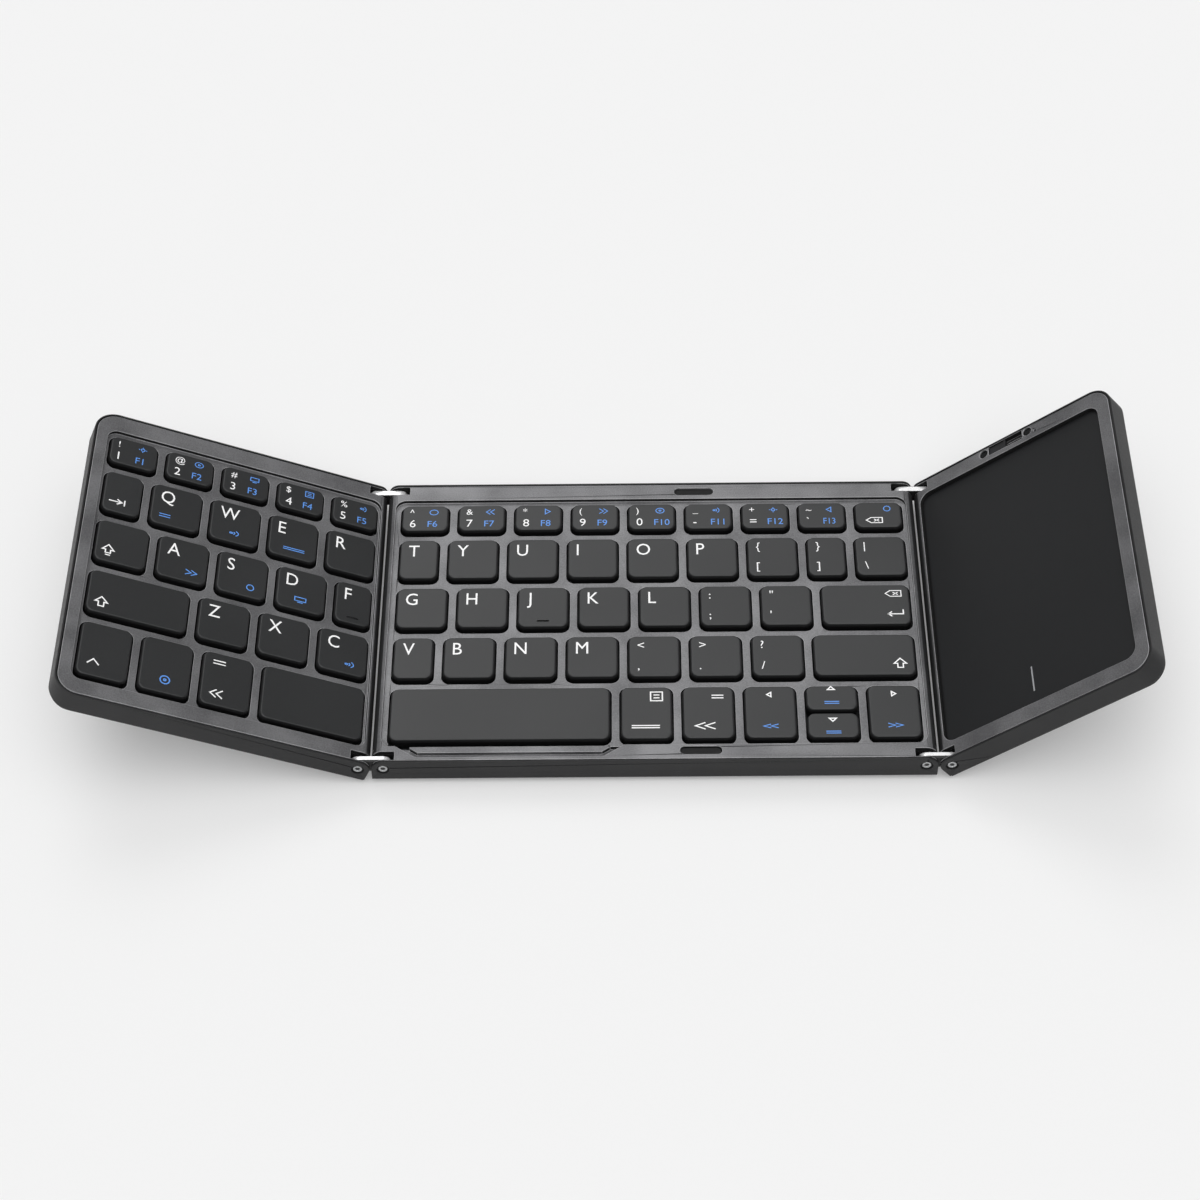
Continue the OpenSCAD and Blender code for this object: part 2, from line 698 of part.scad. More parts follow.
shell_grey = "#4a4a4b";
frame_grey = "#6b6b6c";
cap_grey = "#3f4041";
steel_grey = "#b4b6b8";
rubber_grey = "#26272a";
link_white = "#e6e6e6";

// Centre panel
module base_tray() color(shell_grey) centre_at() {
    difference() {
        centre_body();
        difference() {
            box(-past - centre_half, past + centre_half, wall - half_d, half_d - wall,
                floor_t, panel_t + over);
            for (m = [0, 1]) mirror([m, 0, 0]) translate([-pin_x, 0, 0]) {
                hinge_blocks();
                box(-knuckle_r, wall - knuckle_r, -half_d, half_d, 0, pin_z);
            }
        }
        box(-past - centre_half, past + centre_half, lip_w - half_d, half_d - lip_w,
            rim_z, panel_t + over);
        for (m = [0, 1]) mirror([m, 0, 0]) translate([-pin_x, 0, 0]) hinge_cuts();
    }
    posts([-post_x, -post_x / 3, post_x / 3, post_x]);
}

module base_frame() color(frame_grey) centre_at() {
    difference() {
        union() {
            intersection() {
                centre_body();
                union() {
                    box(-centre_half, centre_half, inset - half_d, half_d - inset,
                        rim_z, panel_t);
                    for (m = [0, 1]) mirror([m, 0, 0])
                        box(-centre_half, strip_w - centre_half, block_in + fit_gap - half_d,
                            half_d - block_in - fit_gap, pin_z + fit_gap, panel_t);
                }
            }
            box(wall - centre_half, centre_half - wall, block_in + 2 * fit_gap - half_d,
                half_d - block_in - 2 * fit_gap, bed_z - web_t, rim_z);
            for (m = [0, 1]) mirror([0, m, 0])
                box(insert_x - insert_len / 2 - insert_wall, insert_x + insert_len / 2 + insert_wall,
                    bed_back - over, half_d - wall - fit_gap, bed_z - web_t, rim_z);
            box(fit_gap - block_x, notch_x1 + insert_wall, wall + fit_gap - half_d,
                well_y, gutter_z - gutter_t, rim_z);
        }
        slab(-pin_x - bed_reach, pin_x + bed_reach, bed_front, bed_back, bed_r, bed_z,
            panel_t + over);
        translate([0, bed_front, bed_z]) linear_extrude(panel_t) notch(0, over);
        translate([0, bed_front, gutter_z]) linear_extrude(panel_t) difference() {
            union() {
                notch(0, fit_gap);
                translate([bed_x0 - step_w, 0])
                    square([notch_x0 - bed_x0 + notch_slope, bed_edge_f]);
            }
            notch(gutter_w, panel_t);
        }
        for (k = centre_wells) key_opening(k);
        for (m = [0, 1]) mirror([m, 0, 0]) translate([-pin_x, 0, 0]) frame_pockets();
        inserts(insert_len, insert_w, panel_t + over);
    }
}

module base_plate() color(steel_grey) centre_at() {
    plate(-pin_x - plate_s, pin_x + plate_s, 0, plate_z, sheet_z);
}

module base_domes() color(rubber_grey) centre_at() {
    plate(-pin_x - plate_s, pin_x + plate_s, sheet_in, sheet_z, dome_z);
    domes(centre_keys);
}

module base_scissors() color(link_white) centre_at() scissors(centre_keys);

module base_pins() color(steel_grey) centre_at() {
    for (m = [0, 1]) mirror([m, 0, 0]) translate([-pin_x, 0, 0]) hinge_pins();
}

module base_feet() color(rubber_grey) {
    feet([foot_s - pin_x, pin_x - foot_s], 0);
    slab(-rest_len / 2, rest_len / 2, -rest_w / 2, rest_w / 2, rest_r, 0, foot_h);
}

module base_magnets() color(steel_grey) centre_at() {
    inserts(insert_len - 2 * insert_gap, insert_w - 2 * insert_gap, panel_t - insert_drop);
}

module battery() color("#8c9096") centre_at() {
    slab(cell_x0, cell_x0 + cell_len, cell_side - half_d, half_d - cell_side, cell_r,
        floor_t, plate_z - cell_gap);
}

module base_board() color("#1f5a3c") centre_at() {
    box(board_x0, pin_x - board_in, board_side - half_d, half_d - board_side,
        floor_t, floor_t + board_t);
    chips(board_x0, floor_t + board_t);
}

// Left wing
module left_tray() color(shell_grey) left_at() {
    wing_tray(left_len);
    posts([post_s, post_mid, left_len - post_end]);
}

module left_frame() color(frame_grey) left_at() {
    difference() {
        union() {
            wing_frame_blank(left_len);
            box(wall - knuckle_r, bed_s1 + web_end, block_in + 2 * fit_gap - half_d,
                half_d - block_in - 2 * fit_gap, bed_z - web_t, rim_z);
        }
        slab(bed_s0 - bed_near, bed_s1 + bed_far, bed_front, bed_back, bed_r, bed_z, panel_t + over);
        for (k = left_keys) key_opening(k);
        frame_pockets();
    }
}

module left_plate() color(steel_grey) left_at() {
    plate(-plate_s, left_len - wall - plate_end, 0, plate_z, sheet_z);
}

module left_domes() color(rubber_grey) left_at() {
    plate(-plate_s, left_len - wall - plate_end, sheet_in, sheet_z, dome_z);
    domes(left_keys);
}

module left_scissors() color(link_white) left_at() scissors(left_keys);

module left_pins() color(steel_grey) left_at() hinge_pins();

module left_feet() color(rubber_grey) left_at() feet([foot_s, left_len - foot_end], -foot_h);

// Right wing
module right_tray() color(shell_grey) right_at() {
    difference() {
        wing_tray(right_len);
        translate([0, half_d + over, port_z]) rotate([90, 0, 0])
            slab(port_s - port_w / 2 - port_gap, port_s + port_w / 2 + port_gap,
                -port_h / 2 - port_gap, port_h / 2 + port_gap, port_h / 2, 0, wall + 2 * over);
        box(slit_s0, slit_s0 + slit_len, -half_d - over, slit_in - half_d, slit_z, slit_z + slit_h);
    }
}

module right_frame() color(frame_grey) right_at() {
    difference() {
        union() {
            wing_frame_blank(right_len);
            slab(wall - knuckle_r, pad_s1 + ledge_end, block_in + ledge_gap - half_d,
                half_d - block_in - ledge_gap, pad_r, bed_z - pad_t - ledge_t, rim_z);
            box(lamps[0] - shelf_near, lamps[1] + shelf_far, half_d - block_in - over,
                half_d - wall - fit_gap, bed_z - web_t, rim_z);
        }
        slab(pad_s0, pad_s1, -pad_half, pad_half, pad_r, bed_z - pad_t, panel_t + over);
        slab(pad_s0 + ledge_w, pad_s1 - ledge_w, ledge_w - pad_half, pad_half - ledge_w,
            pad_r - ledge_w, 0, panel_t);
        frame_pockets();
        box(slot_s0, slot_s1, switch_y - slot_w / 2, switch_y + slot_w / 2, rim_z, panel_t + over);
        box(slot_s0 + stem_end, slot_s1 - stem_end, switch_y - stem_in - stem_w / 2 - stem_gap,
            switch_y - stem_in + stem_w / 2 + stem_gap, 0, panel_t);
        for (s = lamps) translate([s, switch_y, rim_z])
            cylinder(r = lamp_r, h = panel_t, $fn = 24);
        translate([lamps[1] + reset_ds, switch_y - reset_dy, 0])
            cylinder(r = reset_r, h = panel_t + over, $fn = 16);
    }
}

module touchpad() color("#2c2d2f") right_at() {
    slab(pad_s0 + pad_gap, pad_s1 - pad_gap, pad_gap - pad_half, pad_half - pad_gap,
        pad_r - pad_gap, bed_z - pad_t, bed_z);
}

module pad_board() color("#1f5a3c") right_at() {
    edge = ledge_w + pad_board_in;
    under = bed_z - pad_t - pad_board_t;
    slab(pad_s0 + edge, pad_s1 - edge, edge - pad_half, pad_half - edge, plate_r,
        under, bed_z - pad_t);
    chips(pad_s0 + edge, under - chip_h);
}

module right_pins() color(steel_grey) right_at() hinge_pins();

module right_feet() color(rubber_grey) right_at() feet([foot_s, right_len - foot_end], -foot_h);

module lenses() color("#1b1c1e") right_at() {
    for (s = lamps) translate([s, switch_y, rim_z])
        cylinder(r = lamp_r - lens_gap, h = rim_t - lens_drop, $fn = 24);
}

module charge_port() color(steel_grey) right_at() {
    translate([0, half_d - port_in, port_z]) rotate([90, 0, 0]) difference() {
        slab(port_s - port_w / 2, port_s + port_w / 2, -port_h / 2, port_h / 2,
            port_h / 2 - weld, 0, port_len);
        difference() {
            slab(port_s - port_w / 2 + port_wall, port_s + port_w / 2 - port_wall,
                port_wall - port_h / 2, port_h / 2 - port_wall,
                port_h / 2 - port_wall - weld, -over, port_len - port_back);
            box(port_s - tongue_w / 2, port_s + tongue_w / 2, -tongue_t / 2, tongue_t / 2,
                tongue_in, port_len);
        }
    }
    box(port_s - cradle_w / 2, port_s + cradle_w / 2, half_d - cradle_far, half_d - cradle_near,
        floor_t, port_z - port_h / 2 + weld);
}

module power_switch() color("#303133") right_at() {
    x0 = slot_s0 + knob_gap;
    y0 = switch_y - slot_w / 2 + knob_gap;
    y1 = switch_y + slot_w / 2 - knob_gap;
    box(x0, x0 + knob_len, y0, y1, rim_z + knob_gap, panel_t - knob_drop);
    box(x0 + knob_len - rib_len, x0 + knob_len, y0, y1, rim_z + knob_gap, panel_t - rib_drop);
    box(x0 + stem_s, x0 + stem_s + stem_len, switch_y - stem_in - stem_w / 2,
        switch_y - stem_in + stem_w / 2, bed_z - web_t - stem_out, rim_z + knob_gap);
}

// Hinge links
module left_links() color(link_white) {
    translate([-pin_x, 0, foot_h + pin_z]) mirror([1, 0, 0]) link_bars();
}
module right_links() color(link_white) translate([pin_x, 0, foot_h + pin_z]) link_bars();

// Left wing's keys
module key_q() color(cap_grey) left_at() cap(l_row2[3]);
module key_w() color(cap_grey) left_at() cap(l_row2[2]);
module key_e() color(cap_grey) left_at() cap(l_row2[1]);
module key_r() color(cap_grey) left_at() cap(l_row2[0]);
module key_a() color(cap_grey) left_at() cap(l_row3[3]);
module key_s() color(cap_grey) left_at() cap(l_row3[2]);
module key_d() color(cap_grey) left_at() cap(l_row3[1]);
module key_f() color(cap_grey) left_at() cap(l_row3[0]);
module key_z() color(cap_grey) left_at() cap(l_row4[2]);
module key_x() color(cap_grey) left_at() cap(l_row4[1]);
module key_c() color(cap_grey) left_at() cap(l_row4[0]);
module space_left() color(cap_grey) left_at() cap(l_row5[0]);
module number_keys_left() color(cap_grey) left_at() for (k = l_row1) cap(k);
module modifier_keys_left() color(cap_grey) left_at() for (k = edge_keys) cap(k);

// Centre panel's keys
module key_t() color(cap_grey) centre_at() cap(c_row2[0]);
module key_y() color(cap_grey) centre_at() cap(c_row2[1]);
module key_u() color(cap_grey) centre_at() cap(c_row2[2]);
module key_i() color(cap_grey) centre_at() cap(c_row2[3]);
module key_o() color(cap_grey) centre_at() cap(c_row2[4]);
module key_p() color(cap_grey) centre_at() cap(c_row2[5]);
module key_g() color(cap_grey) centre_at() cap(c_row3[0]);
module key_h() color(cap_grey) centre_at() cap(c_row3[1]);
module key_j() color(cap_grey) centre_at() cap(c_row3[2]);
module key_k() color(cap_grey) centre_at() cap(c_row3[3]);
module key_l() color(cap_grey) centre_at() cap(c_row3[4]);
module key_v() color(cap_grey) centre_at() cap(c_row4[0]);
module key_b() color(cap_grey) centre_at() cap(c_row4[1]);
module key_n() color(cap_grey) centre_at() cap(c_row4[2]);
module key_m() color(cap_grey) centre_at() cap(c_row4[3]);
module space_right() color(cap_grey) centre_at() cap(c_row5[0]);
module number_keys_right() color(cap_grey) centre_at() for (k = c_row1) cap(k);
module side_keys_right() color(cap_grey) centre_at() for (k = outer_keys) cap(k);

base_tray();
base_frame();
base_plate();
base_domes();
base_scissors();
base_pins();
base_feet();
base_magnets();
battery();
base_board();
left_tray();
left_frame();
left_plate();
left_domes();
left_scissors();
left_pins();
left_feet();
right_tray();
right_frame();
touchpad();
pad_board();
right_pins();
right_feet();
lenses();
charge_port();
power_switch();
left_links();
right_links();
key_q();
key_w();
key_e();
key_r();
key_a();
key_s();
key_d();
key_f();
key_z();
key_x();
key_c();
key_t();
key_y();
key_u();
key_i();
key_o();
key_p();
key_g();
key_h();
key_j();
key_k();
key_l();
key_v();
key_b();
key_n();
key_m();
space_left();
space_right();
number_keys_left();
number_keys_right();
modifier_keys_left();
side_keys_right();
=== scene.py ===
import json
import math

import bmesh
import bpy
from mathutils import Matrix, Vector

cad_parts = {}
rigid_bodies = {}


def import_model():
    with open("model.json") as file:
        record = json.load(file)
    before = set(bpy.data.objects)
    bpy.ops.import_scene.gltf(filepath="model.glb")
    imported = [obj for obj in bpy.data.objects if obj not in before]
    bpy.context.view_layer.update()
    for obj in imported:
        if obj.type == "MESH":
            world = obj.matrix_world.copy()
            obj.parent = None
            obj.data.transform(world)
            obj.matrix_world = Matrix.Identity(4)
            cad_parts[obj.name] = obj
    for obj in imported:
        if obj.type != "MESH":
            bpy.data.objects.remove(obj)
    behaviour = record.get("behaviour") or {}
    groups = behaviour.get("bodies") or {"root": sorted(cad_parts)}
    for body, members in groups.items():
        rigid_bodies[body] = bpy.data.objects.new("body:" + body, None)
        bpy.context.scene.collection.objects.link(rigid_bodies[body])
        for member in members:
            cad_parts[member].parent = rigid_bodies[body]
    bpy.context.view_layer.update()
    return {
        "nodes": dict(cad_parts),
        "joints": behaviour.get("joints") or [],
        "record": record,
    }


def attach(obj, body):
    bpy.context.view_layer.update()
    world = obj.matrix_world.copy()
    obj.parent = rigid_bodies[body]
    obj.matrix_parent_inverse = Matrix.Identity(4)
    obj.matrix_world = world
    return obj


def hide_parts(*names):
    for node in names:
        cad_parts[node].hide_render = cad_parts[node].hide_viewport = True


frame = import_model()


# --- Trays -------------------------------------------------------------------------------
# The three lower shells are injection-moulded ABS, dark grey and faintly rough from the
# spark-eroded mould. Their long lower edges are rounded and their top edge is a thin lip.

MM = 0.001
SHELL_EDGE = 0.14 * MM
# Vertices closer than this are one, and faces flatter than this are merged
SAME_POINT, SAME_PLANE = 0.001 * MM, math.radians(0.5)
# Edges sharper than this are rounded
SHARP = math.radians(32)
# How far a finish's tone and roughness swing about their middle
TONE_SPREAD, SHEEN_SPREAD = 0.24, 0.06
home = {node: body for body, nodes in frame["record"]["behaviour"]["bodies"].items()
        for node in nodes}
finish_slot = {part["node"]: part["material_slot"] for part in frame["record"]["subparts"]}


def paint(code):
    """An sRGB hex colour as linear RGBA"""
    parts = [int(code[i:i + 2], 16) / 255 for i in (1, 3, 5)]
    return [c / 12.92 if c <= 0.04045 else ((c + 0.055) / 1.055) ** 2.4 for c in parts] + [1.0]


def add(tree, kind, inputs, **settings):
    """Adds a shader node, sets it, and sets or links its inputs"""
    node = tree.nodes.new("ShaderNode" + kind)
    for key, value in settings.items():
        setattr(node, key, value)
    for key, value in inputs.items():
        if isinstance(value, bpy.types.NodeSocket):
            tree.links.new(value, node.inputs[key])
        else:
            node.inputs[key].default_value = value
    return node


def surface(name):
    """A new material, its node tree, its shader, and object coordinates in metres"""
    material = bpy.data.materials.new(name)
    material.use_nodes = True
    tree = material.node_tree
    shader = tree.nodes["Principled BSDF"]
    place = add(tree, "TexCoord", {}).outputs["Object"]
    return material, tree, shader, place


def grained(name, dark, light, roughness, grain, relief, cloud=14 * MM, metallic=0.0):
    """A moulded or sprayed finish: fine grain in tone, sheen and relief over slow cloudiness"""
    # Each grain is drawn a few times wider than the real one, which is too fine to show
    material, tree, shader, place = surface(name)
    shader.inputs["Metallic"].default_value = metallic
    fine = add(tree, "TexNoise", {"Vector": place, "Scale": 1 / grain, "Detail": 3.0,
                                  "Roughness": 0.6})
    slow = add(tree, "TexNoise", {"Vector": place, "Scale": 1 / cloud, "Detail": 2.0})
    both = add(tree, "Math", {0: fine.outputs["Fac"], 1: slow.outputs["Fac"]}, operation="ADD")
    tone = add(tree, "MapRange", {"Value": both.outputs[0], "From Min": 1 - TONE_SPREAD,
                                  "From Max": 1 + TONE_SPREAD})
    colour = add(tree, "Mix", {0: tone.outputs[0], 6: paint(dark), 7: paint(light)},
                 data_type="RGBA")
    sheen = add(tree, "MapRange", {"Value": fine.outputs["Fac"], "From Min": 0.3, "From Max": 0.7,
                                   "To Min": roughness - SHEEN_SPREAD,
                                   "To Max": roughness + SHEEN_SPREAD})
    bump = add(tree, "Bump", {"Height": fine.outputs["Fac"], "Distance": relief, "Strength": 1.0})
    tree.links.new(colour.outputs[2], shader.inputs["Base Color"])
    tree.links.new(sheen.outputs[0], shader.inputs["Roughness"])
    tree.links.new(bump.outputs["Normal"], shader.inputs["Normal"])
    return material


def solid_of(node):
    """A CAD node's surface as a clean mesh with whole flat faces"""
    shape = bmesh.new()
    shape.from_mesh(frame["nodes"][node].data)
    bmesh.ops.remove_doubles(shape, verts=shape.verts, dist=SAME_POINT)
    bmesh.ops.dissolve_limit(shape, angle_limit=SAME_PLANE, verts=shape.verts, edges=shape.edges)
    return shape


def piece_from(shape, name, material, body):
    """A finished mesh as a piece that rides on a body"""
    mesh = bpy.data.meshes.new(name)
    shape.to_mesh(mesh)
    shape.free()
    mesh.shade_smooth()
    mesh.materials.append(material)
    piece = bpy.data.objects.new(name, mesh)
    bpy.context.scene.collection.objects.link(piece)
    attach(piece, body)
    return piece


def soften(node, name, width, material, steps=2):
    """Stands for a CAD node with its sharp edges rounded"""
    # Faces with holes only take a bevel cleanly once they are triangles
    shape = solid_of(node)
    bmesh.ops.triangulate(shape, faces=shape.faces)
    piece = piece_from(shape, name, material, home[node])
    edges = piece.modifiers.new("rounded edges", "BEVEL")
    edges.width = width
    edges.segments = steps
    edges.limit_method = "ANGLE"
    edges.angle_limit = SHARP
    edges.miter_outer = "MITER_ARC"
    edges.use_clamp_overlap = False
    shading = piece.modifiers.new("even shading", "WEIGHTED_NORMAL")
    shading.keep_sharp = False
    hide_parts(node)
    return piece


moulded_abs = grained("moulded_abs_charcoal", "#1a1a1b", "#222223", 0.5, 0.4 * MM, 0.012 * MM)
moulded_abs.node_tree.nodes["Principled BSDF"].inputs["Specular IOR Level"].default_value = 0.38
for node in ("base_tray", "left_tray", "right_tray"):
    soften(node, node + "_shell", SHELL_EDGE, moulded_abs)


# --- Frames ------------------------------------------------------------------------------
# Each panel's top frame is ABS sprayed with a satin grey metallic lacquer. The flakes give
# it a fine, slightly sparkling grain.

sprayed_lacquer = grained("sprayed_metallic_lacquer", "#606062", "#848486", 0.4, 0.34 * MM,
                          0.014 * MM, metallic=0.45)
for node in ("base_frame", "left_frame", "right_frame"):
    soften(node, node + "_lacquered", SHELL_EDGE, sprayed_lacquer, steps=3)


# --- Key plates, domes and scissors ------------------------------------------------------
# Under the keys lie a stamped steel plate, a rubber dome sheet and scissor frames moulded
# in acetal. They only show as dark and pale glimpses between a key and its well.


def refinish(nodes, material):
    """Gives CAD nodes, whose shape is right as it is, their real finish"""
    for node in nodes:
        finishes = frame["nodes"][node].data.materials
        finishes.clear()
        finishes.append(material)


stamped_steel, tree, shader, place = surface("stamped_galvanised_steel")
crystals = add(tree, "TexVoronoi", {"Vector": place, "Scale": 1 / (2.5 * MM)})
tone = add(tree, "Mix", {0: crystals.outputs["Distance"], 6: paint("#8d9092"), 7: paint("#aab0b3")},
           data_type="RGBA")
tree.links.new(tone.outputs[2], shader.inputs["Base Color"])
shader.inputs["Metallic"].default_value = 1.0
shader.inputs["Roughness"].default_value = 0.38

dome_rubber = grained("moulded_dome_rubber", "#1d1e20", "#26272a", 0.62, 0.6 * MM, 0.01 * MM)
moulded_acetal = grained("moulded_acetal", "#2a2b2d", "#343537", 0.4, 0.8 * MM, 0.004 * MM)
refinish(("base_plate", "left_plate"), stamped_steel)
refinish(("base_domes", "left_domes"), dome_rubber)
refinish(("base_scissors", "left_scissors"), moulded_acetal)


# --- Battery and circuit boards ----------------------------------------------------------
# A foil pouch cell and a glass-fibre board lie in the centre tray, and a second board is
# bonded under the touch surface. Solder mask is a glossy green over faint copper tracks.

cell_foil, tree, shader, place = surface("laminated_cell_foil")
creases = add(tree, "TexNoise", {"Vector": place, "Scale": 1 / (6 * MM), "Detail": 2.0})
bump = add(tree, "Bump", {"Height": creases.outputs["Fac"], "Distance": 0.08 * MM})
tree.links.new(bump.outputs["Normal"], shader.inputs["Normal"])
shader.inputs["Base Color"].default_value = paint("#b4b7ba")
shader.inputs["Metallic"].default_value = 1.0
shader.inputs["Roughness"].default_value = 0.34

solder_mask, tree, shader, place = surface("solder_mask_on_glass_fibre")
tracks = add(tree, "TexBrick", {"Vector": place, "Scale": 1 / (4 * MM), "Mortar Size": 0.04,
                                "Color1": paint("#1c5136"), "Color2": paint("#22603f"),
                                "Mortar": paint("#2f7a50")})
tree.links.new(tracks.outputs["Color"], shader.inputs["Base Color"])
shader.inputs["Roughness"].default_value = 0.3
shader.inputs["Coat Weight"].default_value = 0.4

refinish(("battery",), cell_foil)
refinish(("base_board", "pad_board"), solder_mask)


# --- Panel axes, barrels and pockets -----------------------------------------------------
# The lacquer stops where a frame's edge rolls over into its hinge barrel, which is coloured
# dark grey like the trays. Its rounded edges are given a painted highlight. The walls of the
# key wells, the link pockets, the pins' bores and the switch's slot are painted nearly black
# as shade.

DEPTH = Vector((0.0, 1.0, 0.0))
press = {joint["child"]: joint for joint in frame["joints"] if joint["child"] in home}
fold = {joint["child"]: joint for joint in frame["joints"] if joint["type"] == "hinge"}


def panel_axes(pin, right, up):
    """A panel's own axes in the row frame: x to the right, y to the back, z out of its face"""
    return Matrix.Translation(pin) @ Matrix((right, DEPTH, up)).transposed().to_4x4()


def keyed_panel(pin, key):
    """The axes of a panel with keys: its face is where its keys are pressed from"""
    up = -Vector(press[key]["axis"]).normalized()
    return panel_axes(pin, DEPTH.cross(up), up)


slide_way = Vector(press["power_switch"]["axis"]).normalized()
place_of = {
    "base": keyed_panel(Vector((0.0, 0.0, 0.0)), "key_t"),
    "left_wing": keyed_panel(Vector(fold["left_wing"]["pos_m"]), "key_q"),
    "right_wing": panel_axes(Vector(fold["right_wing"]["pos_m"]), slide_way,
                             slide_way.cross(DEPTH)),
}
PIN = Vector(fold["right_link"]["pos_m"])
# Panel, body, distance past the pin, height of the pin, and the lacquered strip past the pin
PANELS = (("base", "base", lambda p: abs(p.x) - PIN.x, PIN.z, 1.7 * MM),
          ("left", "left_wing", lambda p: p.x, 0.0, 1.2 * MM),
          ("right", "right_wing", lambda p: -p.x, 0.0, 0.6 * MM))
# What lies lower than this over the pin is below the rim, and steeper than this is a wall
RIM_HEIGHT, WALL_TILT = 3.1 * MM, 0.3
# The key wells, link pockets, pin heads' bores and switch's slot, in a panel's own axes
WELL_Y = 45.8 * MM
POCKET_X, POCKET_Y = -3.6 * MM, (46.2 * MM, 49.6 * MM)
BORE_R, BORE_Y = 1.78 * MM, (49.3 * MM, 50.15 * MM)
SLOT_X, SLOT_Y = (24.2 * MM, 35.7 * MM), (46.2 * MM, 49.5 * MM)


def within(value, span):
    """Whether a value lies between the ends of a span"""
    return span[0] < value < span[1]


def repaint(piece, place, material, chosen):
    """Gives a further material to faces chosen by their middle and normal in a panel's axes"""
    inward = place.inverted()
    piece.data.materials.append(material)
    last = len(piece.data.materials) - 1
    for face in piece.data.polygons:
        if chosen(inward @ face.center, inward.to_3x3() @ face.normal):
            face.material_index = last


def edge_with(piece, material):
    """Gives a piece's rounded edges the material that was added last, or a further one"""
    if piece.data.materials[-1] != material:
        piece.data.materials.append(material)
    piece.modifiers["rounded edges"].material = len(piece.data.materials) - 1


# Dark grey for the barrels, which also serves as painted shade on the links and in the pins'
# dimples
dark_barrel_and_painted_shade = grained("moulded_abs_bare_barrel", "#1c1c1d", "#242425", 0.5, 0.4 * MM, 0.01 * MM)
# Nearly black painted shade for the wells, pockets, bores and slot
recess_painted_shade = grained("moulded_abs_black_recess", "#070708", "#0b0b0c", 0.7, 0.5 * MM, 0.004 * MM)
# A pale painted highlight for the frames' rounded edges
frame_edge_highlight = grained("lacquer_worn_bright_at_edges", "#8c8c8e", "#b0b0b2", 0.35, 0.5 * MM,
                    0.006 * MM, metallic=0.3)
for panel, body, past_pin, pin_z, strip in PANELS:
    place = place_of[body]
    frame_piece = bpy.data.objects[panel + "_frame_lacquered"]
    tray_piece = bpy.data.objects[panel + "_tray_shell"]
    # The frame's faces over the hinge barrel are coloured dark grey
    repaint(frame_piece, place, dark_barrel_and_painted_shade, lambda p, n: past_pin(p) > strip)
    # Painted shade: the walls of the key wells are painted nearly black
    repaint(frame_piece, place, recess_painted_shade,
            lambda p, n: abs(n.z) < WALL_TILT and abs(p.y) < WELL_Y
            and p.z < pin_z + RIM_HEIGHT and past_pin(p) < strip)
    # Painted shade in the link pockets of frame and tray
    for piece in (frame_piece, tray_piece):
        repaint(piece, place, recess_painted_shade,
                lambda p, n: past_pin(p) > POCKET_X and p.z < pin_z + RIM_HEIGHT
                and within(abs(p.y), POCKET_Y))
    # Painted shade in the pins' bores
    repaint(tray_piece, place, recess_painted_shade,
            lambda p, n: math.hypot(past_pin(p), p.z - pin_z) < BORE_R
            and within(abs(p.y), BORE_Y))
    # The frame's rounded edges get the painted highlight
    edge_with(frame_piece, frame_edge_highlight)
# Painted shade in the switch's slot
for name in ("right_frame_lacquered", "right_tray_shell"):
    repaint(bpy.data.objects[name], place_of["right_wing"], recess_painted_shade,
            lambda p, n: within(p.x, SLOT_X) and within(p.y, SLOT_Y) and p.z < RIM_HEIGHT)


# --- Keycaps -----------------------------------------------------------------------------
# Each cap is moulded in black ABS and hollow below. Its flat top and rounded shoulder have
# a thin matte coat, and its skirt is painted nearly black as shade.

# Solids whose back edges lie this close are in one row
ROW_BAND = 4 * MM
# A ring's corners are drawn in this many steps, and never tighter than this
TURN_STEPS, LEAST_TURN = 6, 0.3 * MM
CAP_TURN = 2.15 * MM
# Inset from the key's box and height over its underside, in millimetres, from the roof of
# the hollow down and round the skirt, over the shoulder and to the flat top
CAP_PROFILE = ((0.9, 1.65), (0.9, 0.0), (0.0, 0.0), (0.0, 1.75), (0.05, 1.95), (0.15, 2.2),
               (0.22, 2.45), (0.28, 2.58), (0.37, 2.68), (0.5, 2.735), (0.66, 2.75), (1.6, 2.75))
# Bands of that profile that belong to the hollow and the skirt, which are painted as shade
SKIRT_BANDS = 6


def boxes_in(node, place):
    """The boxes of a node's separate solids in a panel's axes, back row first, left to right"""
    shape = solid_of(node)
    inward = place.inverted()
    left, found = set(shape.verts), []
    while left:
        group, edge = set(), [left.pop()]
        while edge:
            vert = edge.pop()
            group.add(vert)
            for side in vert.link_edges:
                other = side.other_vert(vert)
                if other in left:
                    left.discard(other)
                    edge.append(other)
        spots = [inward @ vert.co for vert in group]
        found.append([Vector([min(p[i] for p in spots) for i in range(3)]),
                      Vector([max(p[i] for p in spots) for i in range(3)])])
    shape.free()
    return sorted(found, key=lambda b: (-round(b[0].y / ROW_BAND), b[0].x))


def ring_of(shape, low, high, inset, height, radius, place):
    """A loop of vertices round a rounded rectangle, inset from a box"""
    turn = max(radius - inset, LEAST_TURN)
    middle = (low + high) / 2
    corners = ((high.x, high.y), (low.x, high.y), (low.x, low.y), (high.x, low.y))
    loop = []
    for corner, (x, y) in enumerate(corners):
        centre = Vector((x - math.copysign(inset + turn, x - middle.x),
                         y - math.copysign(inset + turn, y - middle.y)))
        for step in range(TURN_STEPS + 1):
            angle = math.radians(90 * corner + 90 / TURN_STEPS * step)
            spot = Vector((centre.x + turn * math.cos(angle),
                           centre.y + turn * math.sin(angle), height))
            loop.append(shape.verts.new(place @ spot))
    return loop


def skin(shape, rings):
    """Joins each loop of vertices to the next, and returns the bands of faces"""
    bands = []
    for one, other in zip(rings, rings[1:]):
        after = [(i + 1) % len(one) for i in range(len(one))]
        bands.append([shape.faces.new((one[i], one[j], other[j], other[i]))
                      for i, j in enumerate(after)])
    return bands


